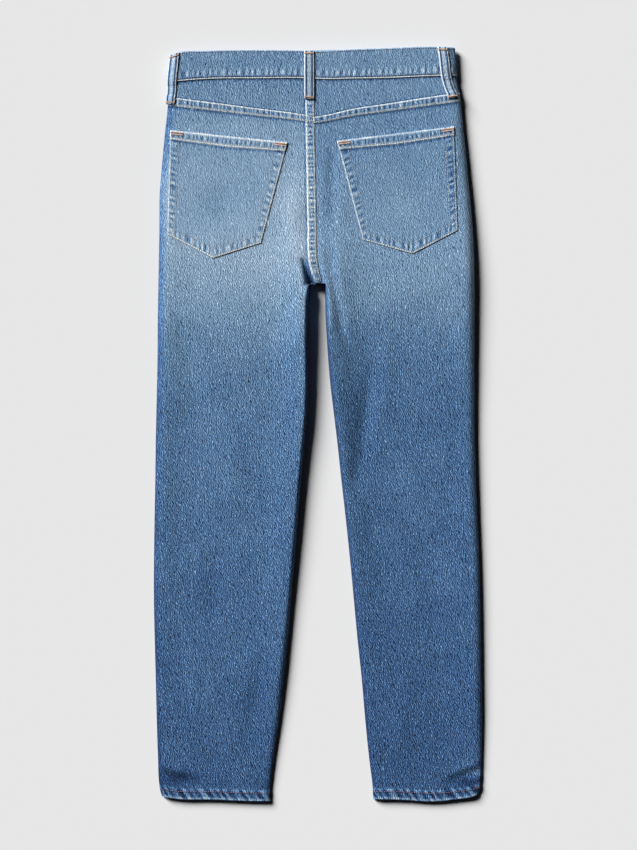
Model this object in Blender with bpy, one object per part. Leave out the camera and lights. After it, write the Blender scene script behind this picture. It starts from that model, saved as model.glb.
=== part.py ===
"""Straight jeans laid flat with the back side up.

Blender 4.5, metres, +Z up. X runs across the garment, Y runs up to the waist,
and Z = 0 is the surface that the front panels lie on. All sizes below are in
millimetres and are turned to metres when a mesh is made.
"""
import bmesh
import bpy
import numpy as np

MM = 0.001

# Cloth and seams
CLOTH = 1.2
BAND_CLOTH = 2.2
HEM_CLOTH = 2.2
SEAM_GAP = 0.3
HALF_GAP = 0.15
LAP_RISE = 0.9
BAND_RISE = 1.0
HEM_RISE = 0.5

# Levels up the garment, before the waist lines tilt them
BAND_TOP = 497.0
BAND_FOOT = 458.0
YOKE_FOOT = 418.0
YOKE_LAP = 9.5
LEVEL_AGAIN = 330.0
CROTCH = 187.0
HEM_TOP = -484.5
HEM_FOOT = -497.5
LEG_LEVEL = -430.0

# The edge that turns under to the side seams and inseams
TURN_UNDER = 9.0
UNDER_ROUND = 4.0
WIDEST_SHARE = 0.42
FORK_ROUND = 3.2
FORK_LENGTH = 28.0
FORK_ROOM = 1.6
FORK_DRAW = 12.0
DIVE_START = 238.0
DIVE_DROP = 2.5
FORK_EDGE = 2.0
FORK_FLOOR = 1.7

# The cleft beside the seat seam: head, foot at the fork, depth
CLEFT_HEAD = (-20.6, 221.0)
CLEFT_FOOT = -9.6
CLEFT_DEPTH = 10.0
CLEFT_FADE = 5.0

# Belt loops
LOOP_WIDTH = 13.3
LEFT_LOOP = (9.6, 11.6, 15.5, 20.5, 22.0)
CENTRE_LOOP = (-13.4, -9.0, -4.6, -0.15)
RIGHT_LOOP = (20.5, 25.0, 29.5, 34.0)
RIGHT_LOOP_LEAN = -5.0
LOOP_CLOTH = 1.6
LOOP_LIFT = 0.35
LOOP_ARCH = 0.8
LOOP_HEAD = -0.5
LEFT_LOOP_FOOT = 409.8
CENTRE_LOOP_FOOT = 435.8
RIGHT_LOOP_FOOT = 412.6
FRONT_LOOP_FOOT = 431.0
FRONT_LOOP_PLACE = 88.0

# Back pockets
POCKET_GAP = 0.45
POCKET_CLOTH = 1.2
POCKET_HEM = 12.0
POCKET_HEM_RISE = 0.7

# Hidden front: pocket mouths, fly, zip and button
MOUTH_WIDTH = 78.0
MOUTH_DEPTH = 95.0
FACING_FOOT = 372.0
FLY_WIDTH = 38.0
FLY_STRAIGHT = 345.0
FLY_FOOT = 308.0
ZIP_WIDTH = 26.0
ZIP_FOOT = 325.0
ZIP_CLOTH = 1.0
SLIDER_SIZE = (9.0, 12.0, 1.4)
BUTTON_RADIUS = 8.5
BUTTON_HEIGHT = 2.2

COLOURS = {
    "denim_faded": (0.24, 0.37, 0.50),
    "denim_mid": (0.14, 0.25, 0.38),
    "denim_dark": (0.09, 0.17, 0.29),
    "zip_tape": (0.05, 0.08, 0.14),
    "brass": (0.55, 0.38, 0.16),
}


class Table:
    """A short table of named columns, read on a smooth curve through its rows."""

    def __init__(self, names, rows):
        self.names = names.split()
        self.rows = np.array(sorted(rows), dtype=float)

    def at(self, name, place):
        """Value of one column where the first column equals place."""
        knots = self.rows[:, 0]
        values = self.rows[:, self.names.index(name)]
        slopes = np.gradient(values, knots)
        spot = np.clip(place, knots[0], knots[-1])
        row = np.clip(np.searchsorted(knots, spot, side="right") - 1, 0, len(knots) - 2)
        span = knots[row + 1] - knots[row]
        t = (spot - knots[row]) / span
        start = values[row] * (1 + 2 * t) * (1 - t) ** 2 + slopes[row] * span * t * (1 - t) ** 2
        end = values[row + 1] * t * t * (3 - 2 * t) - slopes[row + 1] * span * t * t * (1 - t)
        return start + end


OUTLINE = Table("height left_out right_out", (
    (501.0, -194.0, 180.5),
    (484.8, -195.5, 181.8),
    (458.0, -198.0, 183.2),
    (431.6, -198.6, 186.0),
    (405.0, -199.8, 190.0),
    (378.4, -203.2, 193.3),
    (338.5, -207.6, 198.3),
    (311.9, -210.0, 201.0),
    (258.7, -210.6, 205.4),
    (205.0, -211.6, 207.6),
    (139.0, -212.8, 207.8),
    (85.8, -213.2, 207.8),
    (32.6, -214.3, 208.0),
    (-20.6, -215.5, 208.4),
    (-73.8, -216.2, 210.0),
    (-127.0, -217.2, 212.0),
    (-180.2, -218.0, 214.2),
    (-233.4, -218.1, 215.6),
    (-286.6, -217.0, 216.6),
    (-339.8, -215.6, 217.2),
    (-393.0, -214.3, 217.9),
    (-446.2, -212.6, 217.2),
    (-478.0, -211.4, 216.8),
    (-490.0, -209.8, 215.6),
    (-501.0, -206.0, 211.5),
))

INSEAMS = Table("height left_in right_in", (
    (190.0, -10.6, 9.2),
    (178.9, -10.7, 9.4),
    (152.3, -12.0, 9.8),
    (112.4, -13.1, 11.8),
    (59.2, -12.6, 15.8),
    (6.0, -14.8, 22.0),
    (-20.6, -17.3, 25.2),
    (-73.8, -22.2, 31.0),
    (-127.0, -26.6, 37.0),
    (-180.2, -31.0, 42.6),
    (-233.4, -35.6, 47.6),
    (-286.6, -40.2, 52.6),
    (-339.8, -45.6, 58.2),
    (-393.0, -51.6, 62.8),
    (-446.2, -59.2, 68.2),
    (-480.0, -62.8, 72.4),
    (-501.0, -63.4, 73.4),
))

SEAT_SEAM = Table("height across", (
    (501.0, -4.7),
    (431.0, -4.6),
    (340.0, -3.2),
    (259.0, -1.7),
    (224.0, -1.2),
    (208.0, 1.0),
    (196.0, 4.0),
    (187.0, 6.2),
))

THICKNESS = Table("height lift middle outer_rise inner_rise outer_round inner_round", (
    (501.0, 3.6, 9.6, 0.0, 0.0, 12.0, 12.0),
    (458.0, 3.6, 9.8, 0.0, 0.0, 12.0, 12.0),
    (431.0, 3.6, 9.9, 0.2, 0.0, 12.5, 12.0),
    (405.0, 1.8, 10.0, 0.4, 0.0, 13.0, 12.0),
    (375.0, 0.0, 10.2, 0.7, 0.2, 13.0, 12.0),
    (330.0, 0.0, 11.0, 0.8, 0.4, 13.0, 12.0),
    (260.0, 0.0, 12.4, 0.8, 1.6, 13.0, 12.0),
    (200.0, 0.0, 13.6, 0.8, 4.2, 13.0, 10.0),
    (150.0, 0.0, 13.0, 1.0, 6.4, 13.0, 6.0),
    (60.0, 0.0, 10.8, 1.2, 6.0, 12.0, 5.0),
    (-60.0, 0.0, 9.0, 1.4, 4.4, 11.0, 5.0),
    (-200.0, 0.0, 8.0, 1.4, 2.8, 10.0, 6.0),
    (-340.0, 0.0, 7.4, 1.2, 1.2, 10.0, 8.0),
    (-440.0, 0.0, 6.3, 0.6, 0.4, 10.0, 9.0),
    (-501.0, 0.0, 5.0, 0.1, 0.1, 9.0, 9.0),
))

# Lines that the level rows bend to: top edge, foot of the band, yoke seam and hem
WAIST_LINES = Table("across band_top band_foot yoke_foot", (
    (-200.0, 488.0, 453.5, 434.8),
    (-184.0, 493.5, 455.0, 432.6),
    (-150.0, 495.4, 457.6, 428.3),
    (-80.0, 496.5, 458.6, 419.2),
    (-20.0, 495.8, 458.8, 411.2),
    (-4.0, 495.6, 458.2, 408.2),
    (10.0, 495.8, 457.6, 410.4),
    (45.0, 497.4, 458.2, 418.4),
    (90.0, 499.0, 459.0, 425.3),
    (165.0, 500.8, 462.0, 437.0),
    (188.0, 499.6, 462.4, 440.4),
))

HEM_LINES = Table("across hem_foot", (
    (-218.0, -488.0),
    (-208.0, -493.6),
    (-190.0, -497.0),
    (-140.0, -498.2),
    (-90.0, -500.2),
    (-62.0, -500.4),
    (73.0, -497.8),
    (110.0, -498.4),
    (155.0, -500.6),
    (185.0, -497.6),
    (205.0, -494.4),
    (219.0, -488.6),
))

# Soft troughs and ridges of the laid cloth, each a straight run with soft ends
FOLDS = Table("from_across from_height to_across to_height half_width rise", (
    (18.6, 372.0, 19.0, 257.0, 7.0, -1.1),
    (13.0, 240.0, 34.0, 110.0, 7.5, -2.8),
    (76.0, 84.0, 46.0, -104.0, 13.0, -2.0),
    (96.0, 120.0, 70.0, -60.0, 15.0, 1.0),
    (-26.0, 330.0, -40.0, 205.0, 12.0, 0.9),
    (-128.0, 318.0, -131.0, 262.0, 15.0, -0.8),
    (-186.0, 140.0, -152.0, -10.0, 16.0, -1.2),
    (-104.0, 20.0, -118.0, -140.0, 18.0, 0.9),
    (-138.0, -160.0, -134.0, -262.0, 14.0, -1.3),
    (-72.0, -300.0, -94.0, -440.0, 12.0, -1.4),
    (-170.0, -290.0, -160.0, -420.0, 16.0, 0.8),
    (-216.0, -462.0, -168.0, -474.0, 6.0, -2.0),
    (-214.0, -452.0, -172.0, -462.0, 5.0, 0.9),
    (146.0, -150.0, 158.0, -292.0, 15.0, -1.1),
    (120.0, -330.0, 104.0, -450.0, 13.0, 0.8),
    (190.0, 60.0, 182.0, -90.0, 13.0, -0.9),
    (219.0, -458.0, 172.0, -474.0, 6.0, -2.1),
    (217.0, -448.0, 180.0, -460.0, 5.0, 0.9),
))

# Corners of the patch pockets: opening, sides and point, as across and height
POCKETS = {
    "left": {
        "open_outer": (-195.6, 390.0), "open_inner": (-40.4, 374.0),
        "foot_outer": (-199.4, 252.0), "point": (-138.7, 220.4), "foot_inner": (-75.5, 240.5),
    },
    "right": {
        "open_outer": (180.2, 395.0), "open_inner": (25.2, 376.0),
        "foot_outer": (185.0, 257.2), "point": (125.6, 226.2), "foot_inner": (59.4, 244.8),
    },
}

OUTER_STEPS = (0.0, 4.8, 8.2, 11.6, 15.5, 20.5, 28.0, 40.0)
INNER_STEPS = (0.0, 4.8, 8.2, 11.5, 12.6, 17.0, 23.0, 33.0)
MIDDLE_STEPS = 6
LAP_COLUMNS = 4

BAND_ROWS = (BAND_TOP, 484.0, 471.0, BAND_FOOT + HALF_GAP)
YOKE_ROWS = (BAND_FOOT - HALF_GAP, 447.0, 433.0, YOKE_FOOT + HALF_GAP)
SEAT_ROWS = (YOKE_FOOT - HALF_GAP, YOKE_FOOT - YOKE_LAP, YOKE_FOOT - YOKE_LAP - 1.2, 390.0,
             368.0, 347.0, 327.0, 307.0, 287.0, 267.0, 249.0, 234.0, 221.0, 210.0, 201.0, 194.0,
             CROTCH)
LEG_ROWS = (186.5, 185.5, 183.8, 178.0, 168.0, 152.0, 132.0, 108.0, 80.0, 48.0, 14.0, -22.0,
            -60.0, -100.0, -142.0, -185.0, -228.0, -272.0, -316.0, -360.0, -400.0, -432.0,
            -453.0, -464.0, -474.0, HEM_TOP, HEM_TOP - 1.2, HEM_FOOT)


def fold_rise(across, height):
    """Sum of the soft troughs and ridges at points of the upper cloth."""
    total = np.zeros_like(across)
    for x0, y0, x1, y1, half_width, rise in FOLDS.rows:
        run = np.array((x1 - x0, y1 - y0))
        length = np.hypot(*run)
        along = ((across - x0) * run[0] + (height - y0) * run[1]) / length
        aside = ((across - x0) * run[1] - (height - y0) * run[0]) / length
        past = np.maximum(np.abs(along - length / 2) - length * 0.28, 0) / (length * 0.22)
        total += rise * np.exp(-(aside / half_width) ** 2) * np.exp(-(past ** 2) * 1.6)
    return total - cleft_depth(across, height)


def cleft_depth(across, height):
    """Depth of the cleft left of the seat seam, which opens down to the fork."""
    opened = np.clip((CLEFT_HEAD[1] - height) / (CLEFT_HEAD[1] - CROTCH), 0, 1)
    closed = np.clip((height - CROTCH + CLEFT_FADE) / CLEFT_FADE, 0, 1)
    middle = CLEFT_HEAD[0] + opened * (CLEFT_FOOT - CLEFT_HEAD[0])
    half_width = 2.6 + 2.2 * opened
    return CLEFT_DEPTH * opened ** 0.7 * closed * np.exp(-((across - middle) / half_width) ** 2)


def bent_height(level, across):
    """Real height of a level row, which bends to the waist, yoke and hem lines."""
    top = WAIST_LINES.at("band_top", across)
    foot = WAIST_LINES.at("band_foot", across)
    yoke = WAIST_LINES.at("yoke_foot", across)
    hem = HEM_LINES.at("hem_foot", across)
    levels = (HEM_FOOT, LEG_LEVEL, LEVEL_AGAIN, YOKE_FOOT, BAND_FOOT, BAND_TOP)
    heights = (hem, LEG_LEVEL + 0 * across, LEVEL_AGAIN + 0 * across, yoke, foot, top)
    low = int(np.clip(np.searchsorted(levels, level, side="right") - 1, 0, len(levels) - 2))
    share = (level - levels[low]) / (levels[low + 1] - levels[low])
    return heights[low] + share * (heights[low + 1] - heights[low])


def front_height(level, across):
    """Real height of a level row on the underside, straight from side to side above the fork."""
    if level < CROTCH:
        return bent_height(level, across)
    ends = np.array([side_edge(side, level) - side * TURN_UNDER for side in (-1, 1)])
    return np.interp(across, ends, bent_height(level, ends))


def lift_at(level):
    """How high the underside is held off the surface at a level."""
    return max(THICKNESS.at("lift", level), 0.0)


def side_edge(side, level):
    """Where the outer edge of one half lies."""
    return OUTLINE.at("left_out" if side < 0 else "right_out", level)


def inner_edge(side, level):
    """Where one half ends: at the seat seam, or at the leg's inner edge below the fork."""
    seam = SEAT_SEAM.at("across", level)
    if level >= CROTCH:
        return seam + side * HALF_GAP
    spread = np.clip((CROTCH - level) / FORK_ROUND, 0, 1)
    round_end = np.sqrt(1 - (1 - spread) ** 2)
    leg = INSEAMS.at("left_in" if side < 0 else "right_in", level)
    return seam + (leg - seam) * round_end


def leg_width(side, level):
    """Distance from the outer edge to the leg's inner edge, carried on above the fork."""
    return abs(INSEAMS.at("left_in" if side < 0 else "right_in", level) - side_edge(side, level))


def top_of_cloth(side, level, inward):
    """Height of the upper cloth at distances inward from the outer edge."""
    outer_round = THICKNESS.at("outer_round", level)
    inner_round = THICKNESS.at("inner_round", level)
    width = leg_width(side, level)
    body = THICKNESS.at("middle", level) + 0 * inward
    body += THICKNESS.at("outer_rise", level) * np.exp(-((inward - outer_round) / 20.0) ** 2)
    body += THICKNESS.at("inner_rise", level) * np.exp(-((width - inward - inner_round) / 24.0) ** 2)
    across = side_edge(side, level) - side * inward
    return body + fold_rise(across, bent_height(level, across))


def half_section(side, level):
    """Outer line of one half at one level, from its hidden edge round the side to its inner end.

    Quarter ellipses join the flat underside, the widest point of the side and the top of the
    cloth. Above the fork the line ends at the seat seam, which sinks a little to the fork. Below
    it the line falls to the inseam and turns under again.
    """
    edge = side_edge(side, level)
    width = abs(inner_edge(side, level) - edge)
    lift = lift_at(level)
    outer_round = THICKNESS.at("outer_round", level)
    inner_round = THICKNESS.at("inner_round", level)
    grown = np.clip((CROTCH - level) / FORK_LENGTH, 0, 1)
    if level < CROTCH:
        inner_round = FORK_EDGE + grown * (inner_round - FORK_EDGE)
    dive = np.clip((DIVE_START - level) / (DIVE_START - CROTCH), 0, 1) ** 1.6
    widest = lift + WIDEST_SHARE * (THICKNESS.at("middle", level) - lift)
    quarter = np.linspace(0, np.pi / 2, 20)
    flat_start = np.array((TURN_UNDER, UNDER_ROUND + 0.2))
    low_in = UNDER_ROUND * (1 - np.sin(quarter))
    low_up = lift + (widest - lift) * (1 - np.cos(quarter))
    rise_in = outer_round * (1 - np.cos(quarter))
    top_in = np.linspace(outer_round, width - inner_round, 60)
    fall_in = width - inner_round * (1 - np.cos(quarter[::-1]))
    rise_up = widest + (top_of_cloth(side, level, rise_in) - widest) * np.sin(quarter)
    top_up = top_of_cloth(side, level, top_in)
    fall_top = top_of_cloth(side, level, fall_in)
    if level >= CROTCH:
        foot = fall_top[-1] - dive * DIVE_DROP
    else:
        foot = FORK_FLOOR + grown * (widest - FORK_FLOOR)
    fall_up = foot + (fall_top - foot) * np.sin(quarter[::-1])
    inward = [flat_start, low_in, rise_in[1:], top_in[1:], fall_in[1:]]
    upward = [flat_start * 0 + lift, low_up, rise_up[1:], top_up[1:], fall_up[1:]]
    if level < CROTCH:
        round_in = 0.3 + grown * (UNDER_ROUND - 0.3)
        turn = inseam_turn(level)
        inward += [width - round_in * (1 - np.cos(quarter[1:])), np.array((width - turn,))]
        upward += [lift + (foot - lift) * (1 - np.sin(quarter[1:])), np.array((lift,))]
    inward = np.concatenate(inward)
    return edge - side * inward, np.concatenate(upward)


def inseam_turn(level):
    """How far the back panel turns under at the inseam."""
    grown = np.clip((CROTCH - level) / FORK_LENGTH, 0, 1)
    return 1.5 + grown * (TURN_UNDER - 1.5)


def walk(across, upward, places):
    """Points at given distances along a line."""
    steps = np.hypot(np.diff(across), np.diff(upward))
    run = np.concatenate(((0.0,), np.cumsum(steps)))
    return np.interp(places, run, across), np.interp(places, run, upward)


def line_length(across, upward):
    """Length of a line of points."""
    return np.hypot(np.diff(across), np.diff(upward)).sum()


def half_places(length):
    """Distances of the columns along one half, close together at both edges."""
    outer = np.array(OUTER_STEPS)
    inner = length - np.array(INNER_STEPS)[::-1]
    middle = np.linspace(outer[-1], inner[0], MIDDLE_STEPS + 2)[1:-1]
    return np.concatenate((outer, middle, inner))


def half_grid(side, levels):
    """Points of one half's outer face, a row for each level and a column for each place."""
    rows = []
    for level in levels:
        across, upward = half_section(side, level)
        places = half_places(line_length(across, upward))
        x, z = walk(across, upward, places)
        rows.append(np.stack((x, bent_height(level, x), z), axis=1))
    return np.array(rows)


def face_normals(grid, up_at):
    """Unit normals of a grid of points, pointing out at the given row and column."""
    along = np.gradient(grid, axis=0)
    across = np.gradient(grid, axis=1)
    normals = np.cross(across, along)
    normals /= np.linalg.norm(normals, axis=2, keepdims=True)
    return normals * np.sign(normals[up_at][2])


def material(name):
    """Plain material with the named colour."""
    found = bpy.data.materials.get(name)
    if found:
        return found
    made = bpy.data.materials.new(name)
    made.use_nodes = True
    shader = made.node_tree.nodes["Principled BSDF"]
    shader.inputs["Base Color"].default_value = (*COLOURS[name], 1.0)
    shader.inputs["Roughness"].default_value = 0.32 if name == "brass" else 0.85
    shader.inputs["Metallic"].default_value = 1.0 if name == "brass" else 0.0
    return made


def add_object(name, points, faces, finish):
    """One named object of the given points in millimetres, with its faces pointing out."""
    mesh = bpy.data.meshes.new(name)
    mesh.from_pydata((np.array(points) * MM).tolist(), [], faces)
    work = bmesh.new()
    work.from_mesh(mesh)
    bmesh.ops.recalc_face_normals(work, faces=work.faces)
    work.to_mesh(mesh)
    work.free()
    mesh.materials.append(material(finish))
    made = bpy.data.objects.new(name, mesh)
    bpy.context.collection.objects.link(made)
    return made


def wall(name, outer, inner, finish):
    """Closed wall between two grids of points that have the same rows and columns."""
    rows, columns = outer.shape[:2]
    count = rows * columns
    index = np.arange(count).reshape(rows, columns)
    cells = np.stack((index[:-1, :-1], index[:-1, 1:], index[1:, 1:], index[1:, :-1]), axis=-1)
    cells = cells.reshape(-1, 4)
    faces = cells.tolist() + (cells[:, ::-1] + count).tolist()
    rim = np.concatenate((index[0, :], index[1:, -1], index[-1, -2::-1], index[-2:0:-1, 0]))
    after = np.roll(rim, -1)
    faces += np.stack((after, rim, rim + count, after + count), axis=-1).tolist()
    points = np.concatenate((outer.reshape(-1, 3), inner.reshape(-1, 3)))
    return add_object(name, points, faces, finish)


def raised(grid, normals, rise):
    """Outer points moved up by a rise, which fades away where the cloth faces sideways or down."""
    out = grid.copy()
    out[..., 2] += rise * np.clip((normals[..., 2] - 0.1) / 0.4, 0, 1)
    return out


def back_leg(side, word):
    """Back panel of one side: seat, lap of the yoke seam, leg and hem."""
    levels = SEAT_ROWS + LEG_ROWS
    grid = half_grid(side, levels)
    normals = face_normals(grid, (8, 9))
    level = np.array(levels)[:, None]
    column = np.arange(grid.shape[1])[None, :]
    rise = np.where(level >= YOKE_FOOT - YOKE_LAP, LAP_RISE, 0.0) + 0 * column
    if side < 0:
        on_lap = (column >= grid.shape[1] - LAP_COLUMNS) & (level > CROTCH)
        rise = np.where(on_lap, LAP_RISE, rise)
    hem = level < HEM_TOP
    rise = np.where(hem, HEM_RISE, rise)
    thick = np.where(hem, HEM_CLOTH - HEM_RISE, CLOTH) + 0 * column
    outer = raised(grid, normals, rise)
    inner = grid - normals * thick[..., None]
    return wall(f"back_leg_{word}", outer, inner, "denim_mid")


def yoke(side, word):
    """Yoke of one side, between the waistband and the back panel."""
    grid = half_grid(side, YOKE_ROWS)
    normals = face_normals(grid, (1, 9))
    rise = np.zeros(grid.shape[:2])
    if side < 0:
        rise[:, -LAP_COLUMNS:] = LAP_RISE
    return wall(f"yoke_{word}", raised(grid, normals, rise), grid - normals * CLOTH, "denim_dark")


def band_grid():
    """Points of the waistband's outer line, from the centre front all round and back to it."""
    rows = []
    for level in BAND_ROWS:
        ring = []
        for side in (-1, 1):
            seam = SEAT_SEAM.at("across", level)
            across, upward = half_section(side, level)
            places = half_places(line_length(across, upward))
            x, z = walk(across, upward, places)
            front = np.array((seam + side * SEAM_GAP, (seam + x[0]) / 2))
            y = np.concatenate((front_height(level, front), bent_height(level, x[:-1])))
            z = np.concatenate((front * 0 + z[0], z[:-1]))
            line = np.stack((np.concatenate((front, x[:-1])), y, z), axis=1)
            ring.append(line if side < 0 else line[::-1])
        rows.append(np.concatenate(ring))
    return np.array(rows)


def waistband():
    """Folded band all round the waist, open by a seam's width at the centre front."""
    grid = band_grid()
    normals = face_normals(grid, (1, 12))
    outer = grid + normals * BAND_RISE
    return wall("waistband", outer, outer - normals * BAND_CLOTH, "denim_mid")


def loop_levels(foot):
    """Levels along a belt loop, from the top of the band to the loop's foot."""
    levels = [BAND_TOP + LOOP_HEAD, 488.0, 477.0, 466.0, BAND_FOOT + 1.0, 453.0, 447.0]
    if foot < YOKE_FOOT:
        levels += [434.0, YOKE_FOOT + 4.0, YOKE_FOOT + 1.2]
    return np.array(levels + [foot])


def back_loop(word, side, columns, foot, lean=0.0):
    """Belt loop on the back, laid on the section line of the band and the yoke.

    columns are places along that line, counted from its hidden edge, or back from the seat
    seam where they are negative. foot is the level where the loop ends, and lean moves that end
    along the line.
    """
    places = np.array(columns)
    levels = loop_levels(foot)
    rows = []
    for level in levels:
        across, upward = half_section(side, level)
        shift = lean * (levels[0] - level) / (levels[0] - levels[-1])
        from_seam = line_length(across, upward) * (places[0] < 0)
        x, z = walk(across, upward, places + shift + from_seam)
        rows.append(np.stack((x, bent_height(level, x), z), axis=1))
    grid = np.array(rows)
    normals = face_normals(grid, (4, 2))
    lap = LAP_RISE if places[0] < 0 else 0.0
    under = np.where(levels > BAND_FOOT, BAND_RISE, np.where(levels > 450.0, 0.8, lap))
    under = np.where(levels < YOKE_FOOT + 2.0, LAP_RISE, under)
    under = under + np.where((levels > 462.0) & (levels < 492.0), LOOP_ARCH * 0.5, 0.0) + LOOP_LIFT
    below = grid + normals * under[:, None, None]
    return wall(f"belt_loop_back_{word}", below + normals * LOOP_CLOTH, below, "denim_faded")


def flat_piece(name, levels, outer_x, inner_x, finish, above=0.0, thick=CLOTH, columns=4):
    """Flat strip on the underside, between two edges given for each level."""
    rows = []
    for level, start, end in zip(levels, outer_x, inner_x):
        x = np.linspace(start, end, columns)
        z = lift_at(level) + above + 0 * x
        rows.append(np.stack((x, front_height(level, x), z), axis=1))
    low = np.array(rows)
    high = low.copy()
    high[..., 2] += np.broadcast_to(np.reshape(thick, (-1, 1)), high.shape[:2])
    return wall(name, low, high, finish)


def mouth_width(level):
    """Width of the front pocket's facing at a level."""
    drop = np.clip((BAND_FOOT - level) / MOUTH_DEPTH, 0, 1)
    return MOUTH_WIDTH * (1 - drop ** 1.7)


def fly_width(level):
    """Width of the fly flap at a level, with its foot curved to the centre front."""
    drop = np.clip((FLY_STRAIGHT - level) / (FLY_STRAIGHT - FLY_FOOT + 1.0), 0, 1)
    return np.where(level < FLY_FOOT - 0.01, 0.0, FLY_WIDTH * np.sqrt(1 - drop ** 2))


def front_outer(side, level):
    """Edge of the underside beside the back panel's turned edge."""
    return side_edge(side, level) - side * (TURN_UNDER + SEAM_GAP)


def front_inner(side, level):
    """Inner edge of the underside: the centre front, or the inseam below the fork."""
    leg = INSEAMS.at("left_in" if side < 0 else "right_in", level)
    room = FORK_ROOM * np.clip(1 - (CROTCH - level) / FORK_LENGTH, 0, 1)
    below = leg + side * (inseam_turn(level) + SEAM_GAP + room)
    above = SEAT_SEAM.at("across", level) + side * HALF_GAP
    return below + (above - below) * np.clip((level - CROTCH - 2.0) / FORK_DRAW, 0, 1)


FRONT_ROWS = YOKE_ROWS[:-1] + SEAT_ROWS[:1] + SEAT_ROWS[2:] + (FACING_FOOT, 311.0) + LEG_ROWS


def front_leg(side, word):
    """Front panel of one side, cut away for the pocket mouth and, on the left, for the fly."""
    levels = sorted(set(FRONT_ROWS), reverse=True)
    outer_x = []
    inner_x = []
    for level in levels:
        mouth = mouth_width(level)
        outer_x.append(front_outer(side, level) - side * (mouth + SEAM_GAP * (mouth > 0.5)))
        fly = fly_width(level) if side < 0 else 0.0
        inner_x.append(front_inner(side, level) + side * (fly + SEAM_GAP * (fly > 0)))
    thick = np.where(np.array(levels) < HEM_TOP, HEM_CLOTH, CLOTH)
    return flat_piece(f"front_leg_{word}", levels, outer_x, inner_x, "denim_mid", thick=thick)


def pocket_facing(side, word):
    """Cloth that shows in the mouth of one front pocket."""
    levels = [level for level in sorted(set(FRONT_ROWS), reverse=True) if level > FACING_FOOT]
    levels.append(FACING_FOOT)
    outer_x = [front_outer(side, level) for level in levels]
    inner_x = [x - side * mouth_width(level) for x, level in zip(outer_x, levels)]
    return flat_piece(f"pocket_facing_{word}", levels, outer_x, inner_x, "denim_dark", columns=3)


def fly_flap():
    """Flap over the zip, sewn with a curved foot."""
    levels = [level for level in sorted(set(FRONT_ROWS), reverse=True) if level >= FLY_FOOT]
    inner_x = [front_inner(-1, level) for level in levels]
    outer_x = [x - fly_width(level) for x, level in zip(inner_x, levels)]
    return flat_piece("fly_flap", levels, outer_x, inner_x, "denim_dark", columns=3)


def zip_parts():
    """Closed zip behind the flap: its tape and the slider at the top."""
    levels = [level for level in sorted(set(FRONT_ROWS), reverse=True) if level > ZIP_FOOT]
    above = CLOTH + SEAM_GAP
    middle = [front_inner(-1, level) - FLY_WIDTH * 0.4 for level in levels]
    outer_x = [x - ZIP_WIDTH / 2 for x in middle]
    inner_x = [x + ZIP_WIDTH / 2 for x in middle]
    flat_piece("zip_tape", levels, outer_x, inner_x, "zip_tape", above, ZIP_CLOTH, 3)
    width, length, height = SLIDER_SIZE
    low = lift_at(447.0) + above + ZIP_CLOTH + SEAM_GAP
    outline = np.array(((-0.5, -0.3), (-0.28, 0.5), (0.28, 0.5), (0.5, -0.3), (0.25, -0.5), (-0.25, -0.5)))
    plan = outline * (width, length) + (middle[0], 446.0)
    prism("zip_slider", plan, low, low + height, "brass")


def prism(name, plan, low, high, finish):
    """Upright prism over a plan outline."""
    count = len(plan)
    base = np.column_stack((plan, np.full(count, low)))
    lid = np.column_stack((plan, np.full(count, high)))
    faces = [list(range(count)), list(range(2 * count - 1, count - 1, -1))]
    faces += [[i, (i + 1) % count, (i + 1) % count + count, i + count] for i in range(count)]
    return add_object(name, np.concatenate((base, lid)), faces, finish)


def waist_button():
    """Round button under the front of the waistband."""
    turn = np.linspace(0, 2 * np.pi, 24, endpoint=False)
    plan = BUTTON_RADIUS * np.column_stack((np.cos(turn), np.sin(turn)))
    plan += (SEAT_SEAM.at("across", 477.0) - 14.0, 477.0)
    return prism("waist_button", plan, 0.0, BUTTON_HEIGHT, "brass")


def front_loop(word, centre):
    """Belt loop under the front of the band."""
    levels = loop_levels(FRONT_LOOP_FOOT)
    x = centre + np.linspace(-0.5, 0.5, 3) * LOOP_WIDTH
    rows = []
    for level in levels:
        under = BAND_RISE if level > 450.0 else 0.0
        z = lift_at(level) - under - LOOP_LIFT + 0 * x
        rows.append(np.stack((x, front_height(level, x), z), axis=1))
    high = np.array(rows)
    low = high - np.array((0.0, 0.0, LOOP_CLOTH))
    return wall(f"belt_loop_front_{word}", low, high, "denim_faded")


def pocket_plan(corners, across, down):
    """Points of a patch pocket: straight sides, and a foot that falls to a point."""
    open_outer, open_inner = np.array(corners["open_outer"]), np.array(corners["open_inner"])
    foot_outer, foot_inner = np.array(corners["foot_outer"]), np.array(corners["foot_inner"])
    point = np.array(corners["point"])
    share = np.array(across)[None, :, None]
    fall = np.array(down)[:, None, None]
    head = open_outer + share * (open_inner - open_outer)
    first = foot_outer + np.minimum(share / 0.5, 1) * (point - foot_outer)
    foot = first + np.maximum(share / 0.5 - 1, 0) * (foot_inner - point)
    return head + fall * (foot - head)


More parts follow.
